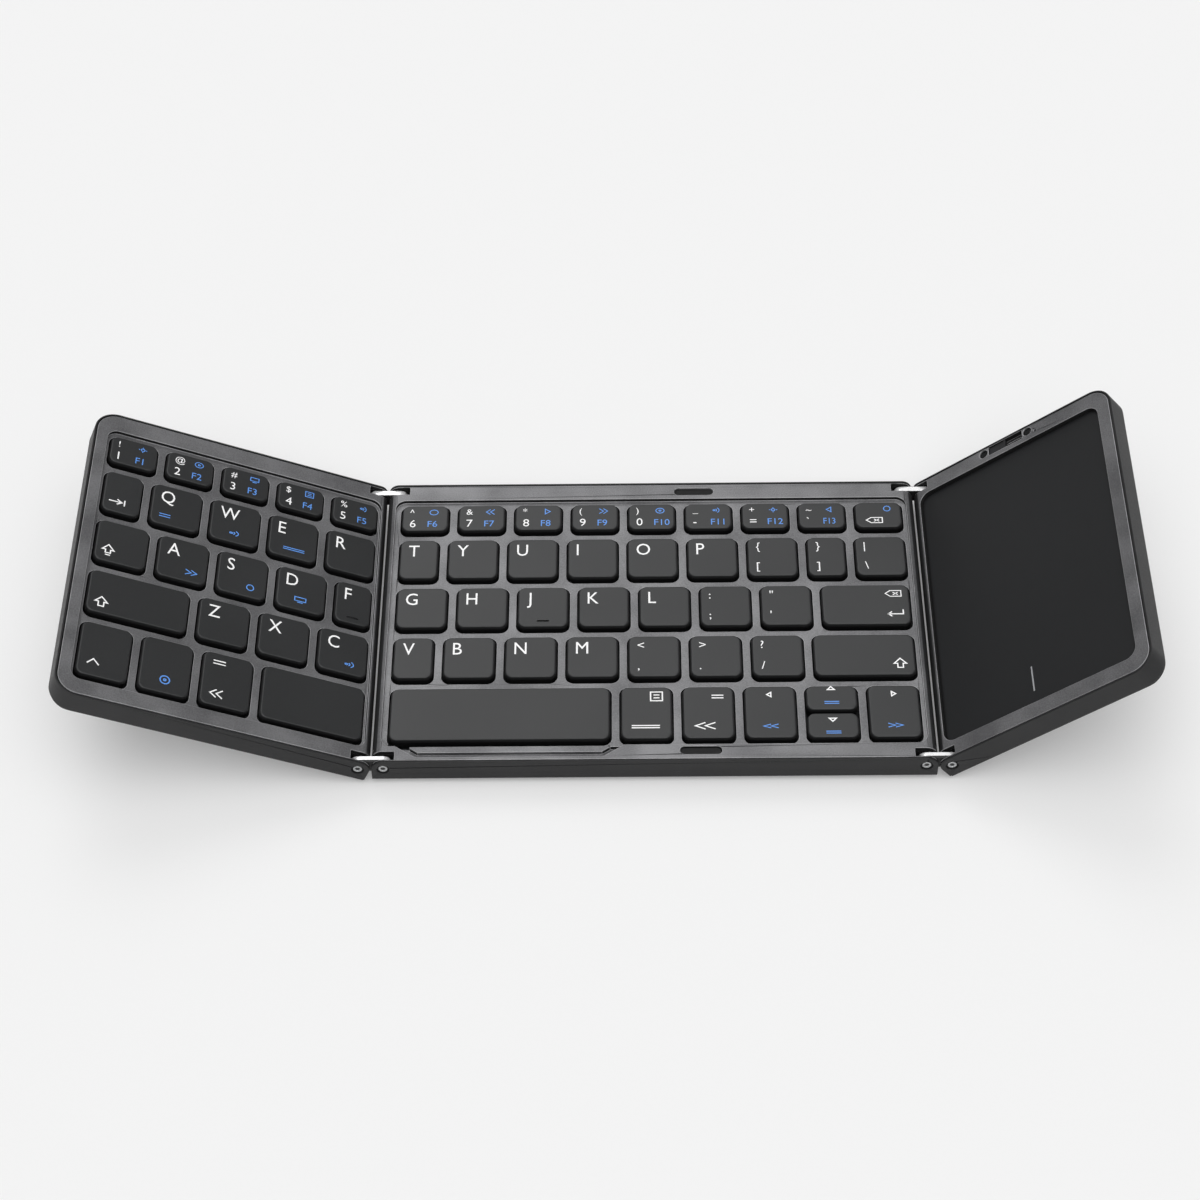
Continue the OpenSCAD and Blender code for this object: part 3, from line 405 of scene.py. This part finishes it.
def add_cap(shape, low, high, place):
    """A keycap from its box: skirt, shoulder, rounded edge, flat top, and the hollow below"""
    rings = [ring_of(shape, low, high, inset * MM, low.z + rise * MM, CAP_TURN, place)
             for inset, rise in CAP_PROFILE]
    # The hollow and the skirt take the nearly black painted shade
    for band in skin(shape, rings)[:SKIRT_BANDS]:
        for face in band:
            face.material_index = 1
    shape.faces.new(rings[-1])
    shape.faces.new(reversed(rings[0])).material_index = 1


def panel_of(node):
    """The axes of the panel that a key or a bank of keys sits in"""
    return place_of["left_wing" if press[node]["parent"] == "left_wing" else "base"]


matte_cap = grained("coated_matte_abs_keycap", "#222324", "#292a2b", 0.41, 0.36 * MM, 0.006 * MM,
                    40 * MM)
skirt_painted_shade = grained("moulded_black_abs_skirt", "#0e0e0f", "#131314", 0.5, 0.5 * MM, 0.004 * MM)
key_boxes = {}
for node in sorted(n for n in home if finish_slot[n] == "keycap"):
    place = panel_of(node)
    key_boxes[node] = boxes_in(node, place)
    caps = bmesh.new()
    for low, high in key_boxes[node]:
        add_cap(caps, low, high, place)
    bmesh.ops.recalc_face_normals(caps, faces=caps.faces)
    piece = piece_from(caps, "cap_" + node, matte_cap, node)
    # The second material is the skirt's painted shade
    piece.data.materials.append(skirt_painted_shade)
    piece.modifiers.new("even shading", "WEIGHTED_NORMAL").keep_sharp = False
    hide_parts(node)


# --- Legends -----------------------------------------------------------------------------
# The characters are pad-printed: a thin film of white ink, and of blue ink for the second
# function. Function keys carry plain arrows and signs. Two keys have a raised homing bar.

# Thickness of the ink, drawn thicker than it is so that it shows
INK = 0.012 * MM
# Points closer than this are one, and a ribbon's corner is never sharper than this
SAME_SPOT, SHARPEST_TURN = 1e-9, 0.4
glyph_cache = {}


def glyph(words):
    """A word's flat outline at a capital height of 1, from the built-in typeface"""
    if words not in glyph_cache:
        curve = bpy.data.curves.new("glyph", "FONT")
        curve.body = words
        curve.size = 1.0
        curve.resolution_u = 3
        holder = bpy.data.objects.new("glyph", curve)
        bpy.context.scene.collection.objects.link(holder)
        bpy.context.view_layer.update()
        drawn = holder.evaluated_get(bpy.context.evaluated_depsgraph_get())
        mesh = bpy.data.meshes.new_from_object(drawn)
        bpy.data.objects.remove(holder)
        glyph_cache[words] = ([v.co.copy() for v in mesh.vertices],
                              [list(p.vertices) for p in mesh.polygons])
        bpy.data.meshes.remove(mesh)
    return glyph_cache[words]


cap_line = max(v.y for v in glyph("H")[0])


def write(shape, words, spot, size, place, stretch=1.0):
    """Prints words with their lower left corner at a spot of a panel"""
    verts, faces = glyph(words)
    left = min(v.x for v in verts)
    scale = size / cap_line
    made = [shape.verts.new(place @ Vector((spot.x + (v.x - left) * scale * stretch,
                                            spot.y + v.y * scale, spot.z + INK))) for v in verts]
    for face in faces:
        shape.faces.new([made[i] for i in face])


def draw(shape, strokes, spot, width, height, line, place):
    """Prints a sign made of ribbons through points given in a unit box"""
    for points in strokes:
        path = [Vector((spot.x + x * width, spot.y + y * height)) for x, y in points]
        closed = (path[0] - path[-1]).length < SAME_SPOT
        if closed:
            path.pop()
        last = len(path) - 1
        sides = []
        for i, here in enumerate(path):
            before = path[i - 1] if i or closed else here - (path[1] - here)
            after = path[(i + 1) % len(path)] if i < last or closed else here + (here - before)
            first, second = (here - before).normalized(), (after - here).normalized()
            across = Vector((-(first + second).y, (first + second).x)).normalized()
            turn = max(across.dot(Vector((-first.y, first.x))), SHARPEST_TURN)
            reach = line / 2 / turn
            sides.append([shape.verts.new(place @ Vector((p.x, p.y, spot.z + INK)))
                          for p in (here - across * reach, here + across * reach)])
        for i in range(len(sides) if closed else last):
            a, b = sides[i], sides[(i + 1) % len(sides)]
            shape.faces.new((a[0], b[0], b[1], a[1]))


def arc(x, y, r, start, end, steps=12):
    """Points round part of a circle"""
    turns = [math.radians(start + (end - start) * i / steps) for i in range(steps + 1)]
    return [(x + r * math.cos(t), y + r * math.sin(t)) for t in turns]


# Each sign's strokes, in a box of width and height 1
signs = {
    "to_stop": [[(0, .5), (.8, .5)], [(.52, .85), (.84, .5), (.52, .15)], [(1, .9), (1, .1)]],
    "lock": [[(.5, 1), (0, .5), (.28, .5), (.28, .2), (.72, .2), (.72, .5), (1, .5), (.5, 1)],
             [(.28, 0), (.72, 0)]],
    "shift": [[(.5, 1), (0, .45), (.28, .45), (.28, 0), (.72, 0), (.72, .45), (1, .45), (.5, 1)]],
    "enter": [[(1, .95), (1, .4), (0, .4)], [(.25, .7), (0, .4), (.25, .1)]],
    "erase": [[(0, .5), (.3, .95), (1, .95), (1, .05), (.3, .05), (0, .5)],
              [(.48, .7), (.8, .3)], [(.48, .3), (.8, .7)]],
    "caret": [[(.1, .3), (.5, .8), (.9, .3)]],
    "menu": [[(0, 1), (1, 1), (1, 0), (0, 0), (0, 1)],
             [(.25, .66), (.75, .66)], [(.25, .33), (.75, .33)]],
    "bars": [[(0, .75), (1, .75)], [(0, .25), (1, .25)]],
    "ring": [arc(.5, .5, .5, 0, 360)],
    "dot": [arc(.5, .5, .5, 0, 360), arc(.5, .5, .12, 0, 360)],
    "left": [[(.7, 1), (.1, .5), (.7, 0), (.7, 1)]],
    "right": [[(.3, 1), (.9, .5), (.3, 0), (.3, 1)]],
    "up": [[(0, .2), (.5, .9), (1, .2), (0, .2)]],
    "down": [[(0, .8), (.5, .1), (1, .8), (0, .8)]],
    "back": [[(.5, 1), (0, .5), (.5, 0)], [(1, 1), (.5, .5), (1, 0)]],
    "ahead": [[(.5, 1), (1, .5), (.5, 0)], [(0, 1), (.5, .5), (0, 0)]],
    "waves": [arc(.2, .5, .3, -50, 50), arc(.2, .5, .6, -50, 50), arc(.2, .5, .12, 0, 360)],
    "screen": [[(0, .9), (1, .9), (1, .25), (0, .25), (0, .9)], [(.25, 0), (.75, 0)]],
    "sun": [arc(.5, .5, .22, 0, 360), [(.5, .85), (.5, 1)], [(.5, 0), (.5, .15)],
            [(0, .5), (.15, .5)], [(.85, .5), (1, .5)]],
}


def printed_ink(name, code):
    """Pad-printed ink: an even colour, broken a little by the key's texture"""
    material, tree, shader, place = surface(name)
    speck = add(tree, "TexNoise", {"Vector": place, "Scale": 1 / (0.3 * MM), "Detail": 2.0})
    thin = add(tree, "MapRange", {"Value": speck.outputs["Fac"], "From Min": 0.25, "From Max": 0.6,
                                  "To Min": 0.94, "To Max": 1.0})
    colour = add(tree, "Mix", {0: thin.outputs[0], 6: paint("#48494b"), 7: paint(code)},
                 data_type="RGBA")
    tree.links.new(colour.outputs[2], shader.inputs["Base Color"])
    shader.inputs["Roughness"].default_value = 0.45
    return material


white_ink = printed_ink("pad_printed_white_ink", "#ffffff")
blue_ink = printed_ink("pad_printed_blue_ink", "#5f9aec")
# Heights of the characters, and widths of the signs' lines
LETTER, DIGIT, PAIRED, SHIFTED, SMALL = 4.1 * MM, 2.7 * MM, 2.6 * MM, 2.1 * MM, 2.2 * MM
LINE, BLUE_LINE, FINE_LINE = 0.36 * MM, 0.3 * MM, 0.26 * MM
ERASE_LINE = LINE * 0.8
# A letter is narrower than the typeface has it, and so is a long function number
LETTER_WIDTH, LONG_WIDTH = 0.88, 0.8
EDGE_X, EDGE_Y = 2.6 * MM, 2.2 * MM


def spot_on(box, x, y):
    """A spot on a key's top, from its left and back edges, or from right and front if negative"""
    low, high = box
    return Vector((low.x + x if x >= 0 else high.x + x, high.y - y if y >= 0 else low.y - y,
                   high.z))


def put(shape, sign, box, x, y, width, height, line, place):
    """Prints a sign on a key's top, its spot and size given in millimetres"""
    draw(shape, signs[sign], spot_on(box, x * MM, y * MM), width * MM, height * MM, line, place)


def pair(white, box, upper, lower, place):
    """Two small characters, one above the other, at a key's left"""
    write(white, upper, spot_on(box, EDGE_X, EDGE_Y + PAIRED), PAIRED, place)
    write(white, lower, spot_on(box, EDGE_X, -EDGE_Y - 0.3 * MM), PAIRED, place)


def number_key(white, blue, box, upper, digit, sign, count, place):
    """A digit under its shifted character, and a function number under a blue sign"""
    write(white, upper, spot_on(box, 2.3 * MM, 3.7 * MM), SHIFTED, place)
    write(white, digit, spot_on(box, 2.4 * MM, -1.5 * MM), DIGIT, place)
    put(blue, sign, box, 8.0, 3.7, 2.4, 1.9, FINE_LINE, place)
    write(blue, "F" + count, spot_on(box, 7.5 * MM, -1.6 * MM), SMALL, place)


def last_number_keys(white, blue, tilde, erase, place):
    """The two keys that end the number row"""
    write(white, "~", spot_on(tilde, 2.3 * MM, 3.9 * MM), SHIFTED, place)
    write(white, "`", spot_on(tilde, 2.4 * MM, -1.5 * MM), DIGIT, place)
    put(blue, "left", tilde, 8.0, 3.7, 2.2, 1.8, FINE_LINE, place)
    write(blue, "F13", spot_on(tilde, 7.2 * MM, -1.6 * MM), SMALL, place, LONG_WIDTH)
    put(blue, "ring", erase, 8.4, 3.6, 1.9, 1.9, FINE_LINE, place)
    put(white, "erase", erase, 3.2, -1.7, 4.6, 2.2, ERASE_LINE, place)


def left_modifiers(white, blue, boxes, place):
    """The keys along the left wing's outer side and front"""
    tab, caps, shift, control, function, alternate = boxes
    for ink, sign, box, x, y, width, height in (
            (white, "to_stop", tab, 1.9, -2.6, 4.4, 2.6),
            (white, "lock", caps, 2.2, -2.4, 3.2, 3.6),
            (white, "shift", shift, 2.4, -2.4, 3.4, 3.2),
            (white, "caret", control, 2.4, -3.0, 4.0, 3.4),
            (blue, "dot", function, 5.8, -3.2, 2.6, 2.6),
            (white, "bars", alternate, 2.8, 4.4, 3.4, 2.0),
            (white, "back", alternate, 2.8, -2.8, 3.4, 2.6)):
        put(ink, sign, box, x, y, width, height, LINE, place)


def right_side_keys(white, blue, boxes, place):
    """The centre panel's punctuation, return, shift, menu and cursor keys"""
    (brace, bracket, slash, colon, quote, enter, comma, stop, query, shift,
     page_up, menu, alternate, home_key, page_down, end_key) = boxes
    for box, upper, lower in ((brace, "{", "["), (bracket, "}", "]"), (slash, "|", "\\"),
                              (colon, ":", ";"), (quote, "\"", "'"), (comma, "<", ","),
                              (stop, ">", "."), (query, "?", "/")):
        pair(white, box, upper, lower, place)
    for sign, box, x, y, width, height, line in (
            ("enter", enter, -6.4, -2.6, 4.2, 2.8, LINE),
            ("erase", enter, -6.8, 4.6, 4.4, 2.3, ERASE_LINE),
            ("shift", shift, -6.0, -2.6, 3.4, 3.2, LINE),
            ("menu", menu, 8.2, 5.0, 3.2, 3.0, LINE),
            ("bars", menu, 3.0, -3.4, 7.6, 1.5, LINE),
            ("bars", alternate, 8.0, 4.6, 3.2, 1.8, LINE),
            ("back", alternate, 3.4, -3.2, 5.4, 2.2, LINE)):
        put(white, sign, box, x, y, width, height, line, place)
    for box, tip, tip_y, sign, sign_y in ((home_key, "left", 3.9, "back", -3.4),
                                          (end_key, "right", 3.9, "ahead", -3.4),
                                          (page_up, "up", 1.9, "bars", -1.9),
                                          (page_down, "down", 3.2, "bars", -1.2)):
        put(white, tip, box, 6.0, tip_y, 1.9, 1.5, LINE, place)
        put(blue, sign, box, 5.0, sign_y, 4.0, 1.3, BLUE_LINE, place)


# A homing bar's half length, its front and back from the key's front edge, its rise over
# the key's top, and the radius of its ends
BAR_HALF, BAR_FRONT, BAR_BACK, BAR_RISE, BAR_TURN = (n * MM for n in (1.7, 1.9, 2.35, 0.12, 0.25))
# Inset and drop of the bar's rings, in millimetres
BAR_PROFILE = ((0.0, 0.3), (0.0, 0.08), (0.06, 0.02), (0.12, 0.0))


def homing_bar(shape, box, place):
    """A raised bar near the front of a key, for finding it by touch"""
    low, high = box
    middle = (low.x + high.x) / 2
    bar_low = Vector((middle - BAR_HALF, low.y + BAR_FRONT, high.z))
    bar_high = Vector((middle + BAR_HALF, low.y + BAR_BACK, high.z + BAR_RISE))
    rings = [ring_of(shape, bar_low, bar_high, inset * MM, bar_high.z - drop * MM, BAR_TURN,
                     place) for inset, drop in BAR_PROFILE]
    skin(shape, rings)
    shape.faces.new(rings[-1])


# Shifted character, plain character and blue sign of the number row
number_marks = (("!", "1", "sun"), ("@", "2", "dot"), ("#", "3", "screen"), ("$", "4", "menu"),
                ("%", "5", "waves"), ("^", "6", "ring"), ("&", "7", "back"), ("*", "8", "right"),
                ("(", "9", "ahead"), (")", "0", "dot"), ("_", "-", "waves"), ("+", "=", "sun"))
# A letter key's blue sign: spot from the left and front edges, width and height
blue_marks = {"key_q": ("bars", 2.6, -2.6, 3.2, 1.7), "key_w": ("waves", 5.6, -2.6, 3.4, 1.8),
              "key_e": ("bars", 4.4, -2.6, 6.2, 1.3), "key_a": ("ahead", 8.2, -2.6, 3.2, 1.8),
              "key_s": ("ring", 8.6, -2.6, 2.0, 2.0), "key_d": ("screen", 5.4, -2.8, 3.2, 2.0),
              "key_c": ("waves", 7.6, -2.6, 3.4, 1.9)}
# Each number bank's first place in the row
first_number = {"number_keys_left": 0, "number_keys_right": 5}

for node, boxes in key_boxes.items():
    place = panel_of(node)
    white, blue, bars = bmesh.new(), bmesh.new(), bmesh.new()
    if node.startswith("key_"):
        spot = spot_on(boxes[0], EDGE_X, EDGE_Y + LETTER)
        write(white, node[4:].upper(), spot, LETTER, place, LETTER_WIDTH)
    if node in blue_marks:
        sign, x, y, width, height = blue_marks[node]
        put(blue, sign, boxes[0], x, y, width, height, BLUE_LINE, place)
    if node in first_number:
        start = first_number[node]
        for i, (box, marks) in enumerate(zip(boxes, number_marks[start:])):
            number_key(white, blue, box, *marks, str(start + i + 1), place)
    if node == "number_keys_right":
        last_number_keys(white, blue, *boxes[-2:], place)
    if node == "modifier_keys_left":
        left_modifiers(white, blue, boxes, place)
    if node == "side_keys_right":
        right_side_keys(white, blue, boxes, place)
    if node in ("key_f", "key_j"):
        homing_bar(bars, boxes[0], place)
    for shape, name, material in ((white, "letters_", white_ink), (blue, "marks_", blue_ink),
                                  (bars, "homing_bar_", matte_cap)):
        if shape.faces:
            piece_from(shape, name + node, material, node)
        else:
            shape.free()


# --- Touch surface -----------------------------------------------------------------------
# A stiff sheet with a matte hard coat, nearly black, with a thin black band of painted shade
# round its edge. A short pale line printed near its front edge parts the two click zones.

hard_coat = grained("matte_hard_coated_sheet", "#131416", "#17181a", 0.42, 0.3 * MM, 0.003 * MM,
                    60 * MM)
soften("touchpad", "touch_sheet", 0.12 * MM, hard_coat)
place = place_of["right_wing"]
sheet_low, sheet_high = boxes_in("touchpad", place)[0]
# The line's middle and front end in the wing's own axes, its length and its width
ZONE_X, ZONE_Y, ZONE_LENGTH, ZONE_LINE = 28.4 * MM, -40.2 * MM, 8.2 * MM, 0.42 * MM
zone_line = bmesh.new()
draw(zone_line, [[(0, 0), (0, 1)]], Vector((ZONE_X, ZONE_Y, sheet_high.z)), 1.0, ZONE_LENGTH,
     ZONE_LINE, place)
piece_from(zone_line, "zone_line", printed_ink("pad_printed_grey_ink", "#a3a5a8"), "right_wing")
# Corner radius of the painted shade band, and the insets of its outer and inner edges in
# millimetres
SHADE_BAND_TURN, SHADE_BAND_EDGES = 3.0 * MM, (0.16, 0.5)
# A thin band of painted shade round the sheet's edge, where it meets the frame
sheet_shade_band = bmesh.new()
skin(sheet_shade_band, [ring_of(sheet_shade_band, sheet_low, sheet_high, inset * MM, sheet_high.z + INK, SHADE_BAND_TURN,
                      place) for inset in SHADE_BAND_EDGES])
piece_from(sheet_shade_band, "sheet_border", printed_ink("screen_printed_black_border", "#050506"),
           "right_wing")


# --- Hinge links and pins ----------------------------------------------------------------
# The link bars are die-cast zinc, tumbled and bright nickel plated, which gives them a pale,
# soft shine, with painted shade on their faces and front ends. The pins are turned from bright
# steel, each with a dimpled head sunk in its bore, the dimple's floor painted dark as shade.

bright_nickel, tree, shader, place = surface("bright_nickel_plated_zinc")
drift = add(tree, "TexNoise", {"Vector": place, "Scale": 1 / (1.5 * MM), "Detail": 2.0})
gloss = add(tree, "MapRange", {"Value": drift.outputs["Fac"], "To Min": 0.2, "To Max": 0.34})
tree.links.new(gloss.outputs[0], shader.inputs["Roughness"])
shader.inputs["Base Color"].default_value = paint("#ececed")
shader.inputs["Metallic"].default_value = 0.35
# The bars' front ends beyond this, and their front and back faces, are painted dark as the shade in
# the pockets
LINK_SHADE, FACE_TILT = -48.35 * MM, 0.9
for node in ("left_links", "right_links"):
    piece = soften(node, node + "_plated", 0.2 * MM, bright_nickel, steps=3)
    shape = bmesh.new()
    shape.from_mesh(piece.data)
    bmesh.ops.bisect_plane(shape, geom=shape.verts[:] + shape.edges[:] + shape.faces[:],
                           plane_co=LINK_SHADE * DEPTH, plane_no=DEPTH)
    shape.to_mesh(piece.data)
    shape.free()
    # Painted shade on the bars' front and back faces, their front ends and their rounded edges
    repaint(piece, place_of["base"], dark_barrel_and_painted_shade,
            lambda p, n: abs(n.y) > FACE_TILT or p.y < LINK_SHADE)
    edge_with(piece, dark_barrel_and_painted_shade)

turned_steel, tree, shader, place = surface("turned_bright_steel")
lathe = add(tree, "TexNoise", {"Vector": place, "Scale": 1 / (0.5 * MM), "Detail": 2.0})
gloss = add(tree, "MapRange", {"Value": lathe.outputs["Fac"], "To Min": 0.26, "To Max": 0.44})
tree.links.new(gloss.outputs[0], shader.inputs["Roughness"])
shader.inputs["Base Color"].default_value = paint("#bcbdbe")
shader.inputs["Metallic"].default_value = 1.0

PIN_SIDES = 32
# Radius, and distance from the head's face, in millimetres, from the dimple out and back
# along the shank
PIN_TURNING = ((0.62, 0.3), (0.66, 0.28), (0.7, 0.2), (0.76, 0.14), (0.84, 0.1), (1.08, 0.1),
               (1.2, 0.16), (1.26, 0.28), (1.26, 0.4), (0.9, 0.4), (0.9, 4.0), (0.9, 4.98),
               (0.8, 5.1))


def turn_pin(shape, low, high, place):
    """A pin turned about its own axis, its head towards the panel's outer face"""
    middle = (low + high) / 2
    head, inward = (high.y, -1) if high.y > 0 else (low.y, 1)
    turns = [math.radians(360 / PIN_SIDES * i) for i in range(PIN_SIDES)]
    rings = []
    for radius, drop in PIN_TURNING:
        rings.append([shape.verts.new(place @ Vector((
            middle.x + radius * MM * math.cos(turn), head + inward * drop * MM,
            middle.z + radius * MM * math.sin(turn)))) for turn in turns])
    skin(shape, rings)
    # The dimple's floor takes the second material, painted dark as shade
    shape.faces.new(rings[0]).material_index = 1
    shape.faces.new(rings[-1])


for node, panel in (("base_pins", "base"), ("left_pins", "left_wing"),
                    ("right_pins", "right_wing")):
    pins = bmesh.new()
    for low, high in boxes_in(node, place_of[panel]):
        turn_pin(pins, low, high, place_of[panel])
    bmesh.ops.recalc_face_normals(pins, faces=pins.faces)
    piece = piece_from(pins, node + "_turned", turned_steel, panel)
    # The dark grey painted shade for the dimples
    piece.data.materials.append(dark_barrel_and_painted_shade)
    piece.modifiers.new("even shading", "WEIGHTED_NORMAL").keep_sharp = False
    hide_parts(node)


# --- Rim inserts, switch, lamps and socket -----------------------------------------------
# Two black-lacquered magnets sit in the centre rims. The right wing's back rim holds the
# slide switch between two smoked lamp lenses, and its back wall the nickel-plated socket.

black_lacquer = grained("black_epoxy_on_magnet", "#030304", "#060607", 0.75, 0.5 * MM, 0.002 * MM)
soften("base_magnets", "rim_magnets", 0.15 * MM, black_lacquer)
smoked_lens = grained("smoked_polycarbonate_lens", "#08090a", "#0c0d0e", 0.12, 1.5 * MM, 0.001 * MM)
soften("lenses", "lamp_lenses", 0.2 * MM, smoked_lens)
switch_abs = grained("moulded_abs_switch_knob", "#1a1b1c", "#222325", 0.48, 0.4 * MM, 0.006 * MM)
soften("power_switch", "switch_knob", 0.1 * MM, switch_abs)

# Pale lines of painted highlight stand for the bright edges round the lamps and at the ends
# of the knob and of its slot. All of them are thin rings and lines just under the rim, in the
# wing's own axes.
switch_edge_highlight = grained("polished_bevel_in_lacquer", "#a4a4a6", "#b4b4b6", 0.35, 0.4 * MM, 0.002 * MM)
edges, place = bmesh.new(), place_of["right_wing"]
SWITCH_Y, RIM_TOP, HAIR = 47.85 * MM, 3.15 * MM - 2 * INK, 0.2 * MM
LAMP_X, LAMP_R = (22.65 * MM, 37.3 * MM), 1.52 * MM
for x in LAMP_X:
    draw(edges, [arc(0, 0, LAMP_R, 0, 360, 32)], Vector((x, SWITCH_Y, RIM_TOP)), 1.0, 1.0, HAIR,
         place)
# The slot's two ends and a tick beside it, all painted highlights: place and length in millimetres
SLOT_LINES = ((35.72, 46.5, 2.7), (24.22, 46.5, 2.7), (20.6, 47.1, 1.0))
for x, y, height in SLOT_LINES:
    draw(edges, [[(0, 0), (0, 1)]], Vector((x * MM, y * MM, RIM_TOP)), 1.0, height * MM, HAIR,
         place)
piece_from(edges, "bright_switch_edges", switch_edge_highlight, "right_wing")
low, high = boxes_in("power_switch", place)[0]
# A painted highlight along the knob's end
edges = bmesh.new()
draw(edges, [[(0, 0), (0, 1)]], Vector((high.x - HAIR, low.y + HAIR, high.z - 2 * INK)), 1.0,
     high.y - low.y - 2 * HAIR, HAIR, place)
piece_from(edges, "bright_knob_edge", switch_edge_highlight, "power_switch")
refinish(("charge_port",), bright_nickel)


# --- Feet --------------------------------------------------------------------------------
# Four round feet under each panel and one long pad under the centre are die-cut from
# soft black rubber, matte and faintly speckled.

foot_rubber = grained("die_cut_soft_rubber", "#1c1d1f", "#27282b", 0.78, 0.7 * MM, 0.02 * MM)
for node in ("base_feet", "left_feet", "right_feet"):
    soften(node, node + "_rubber", 0.2 * MM, foot_rubber)


# --- Floor, light and camera -------------------------------------------------------------
# A pale seamless sweep under a large soft light overhead, a little to the front, and a
# small one behind. The camera looks down at about 50 degrees from the front.

sweep = bpy.data.meshes.new("sweep")
reach = 3.0
sweep.from_pydata([(-reach, -reach, 0), (reach, -reach, 0), (reach, reach, 0),
                   (-reach, reach, 0)], [], [(0, 1, 2, 3)])
floor = bpy.data.objects.new("floor", sweep)
bpy.context.scene.collection.objects.link(floor)
paper, tree, shader, place = surface("matte_paper_sweep")
fibre = add(tree, "TexNoise", {"Vector": place, "Scale": 1 / (0.8 * MM), "Detail": 2.0})
tint = add(tree, "Mix", {0: fibre.outputs["Fac"], 6: paint("#f3f3f3"), 7: paint("#f5f5f5")},
           data_type="RGBA")
tree.links.new(tint.outputs[2], shader.inputs["Base Color"])
shader.inputs["Roughness"].default_value = 1.0
shader.inputs["Specular IOR Level"].default_value = 0.0
lit_paper = add(tree, "Emission", {"Color": paint("#f4f4f4")})
# The camera sees this share of the sweep as evenly lit paper, which keeps the shadow soft
LIT_SHARE = 0.24
to_camera = add(tree, "LightPath", {}).outputs["Is Camera Ray"]
seen = add(tree, "Math", {0: to_camera, 1: LIT_SHARE}, operation="MULTIPLY")
both = add(tree, "MixShader", {0: seen.outputs[0], 1: shader.outputs[0], 2: lit_paper.outputs[0]})
tree.links.new(both.outputs[0], tree.nodes["Material Output"].inputs["Surface"])
sweep.materials.append(paper)

# The room's own dim glow, a wide soft panel overhead, and a small one behind that the
# lacquer and the keys mirror towards the camera. Each is a direction, the angles where it
# ends and where it is full, and its strength.
world = bpy.data.worlds.new("room")
bpy.context.scene.world = world
world.use_nodes = True
tree = world.node_tree
ROOM_GLOW = 0.245
SOFT_LIGHTS = (((0.03, -0.3, 0.95), 46, 14, 2.12), ((-0.16, 0.64, 0.75), 22, 5, 2.5))
view_from = add(tree, "TexCoord", {}).outputs["Generated"]
glow = ROOM_GLOW
for direction, edge, core, strength in SOFT_LIGHTS:
    facing = add(tree, "VectorMath", {0: view_from, 1: Vector(direction).normalized()},
                 operation="DOT_PRODUCT")
    panel = add(tree, "MapRange", {"Value": facing.outputs["Value"],
                                   "From Min": math.cos(math.radians(edge)),
                                   "From Max": math.cos(math.radians(core)),
                                   "To Min": 0.0, "To Max": strength},
                interpolation_type="SMOOTHSTEP")
    glow = add(tree, "Math", {0: glow, 1: panel.outputs[0]}, operation="ADD").outputs[0]
tree.links.new(glow, tree.nodes["Background"].inputs["Strength"])
tree.nodes["Background"].inputs["Color"].default_value = paint("#ffffff")

elevation, azimuth, roll = (math.radians(a) for a in (50.0, -0.905, -1.14))
aim = Vector((math.sin(azimuth) * math.cos(elevation), math.cos(azimuth) * math.cos(elevation),
              -math.sin(elevation)))
level = Vector((math.cos(azimuth), -math.sin(azimuth), 0.0))
upright = level.cross(aim)
across = math.cos(roll) * level + math.sin(roll) * upright
upright = aim.cross(across) * -1
lens = bpy.data.cameras.new("camera")
lens.sensor_width = 36.0
lens.lens = 81.13
camera = bpy.data.objects.new("camera", lens)
turned = Matrix((across, upright, -aim)).transposed().to_4x4()
camera.matrix_world = Matrix.Translation((-6.9 * MM, -481.0 * MM, 589.6 * MM)) @ turned
bpy.context.scene.collection.objects.link(camera)
bpy.context.scene.camera = camera
bpy.context.scene.view_settings.view_transform = "Standard"
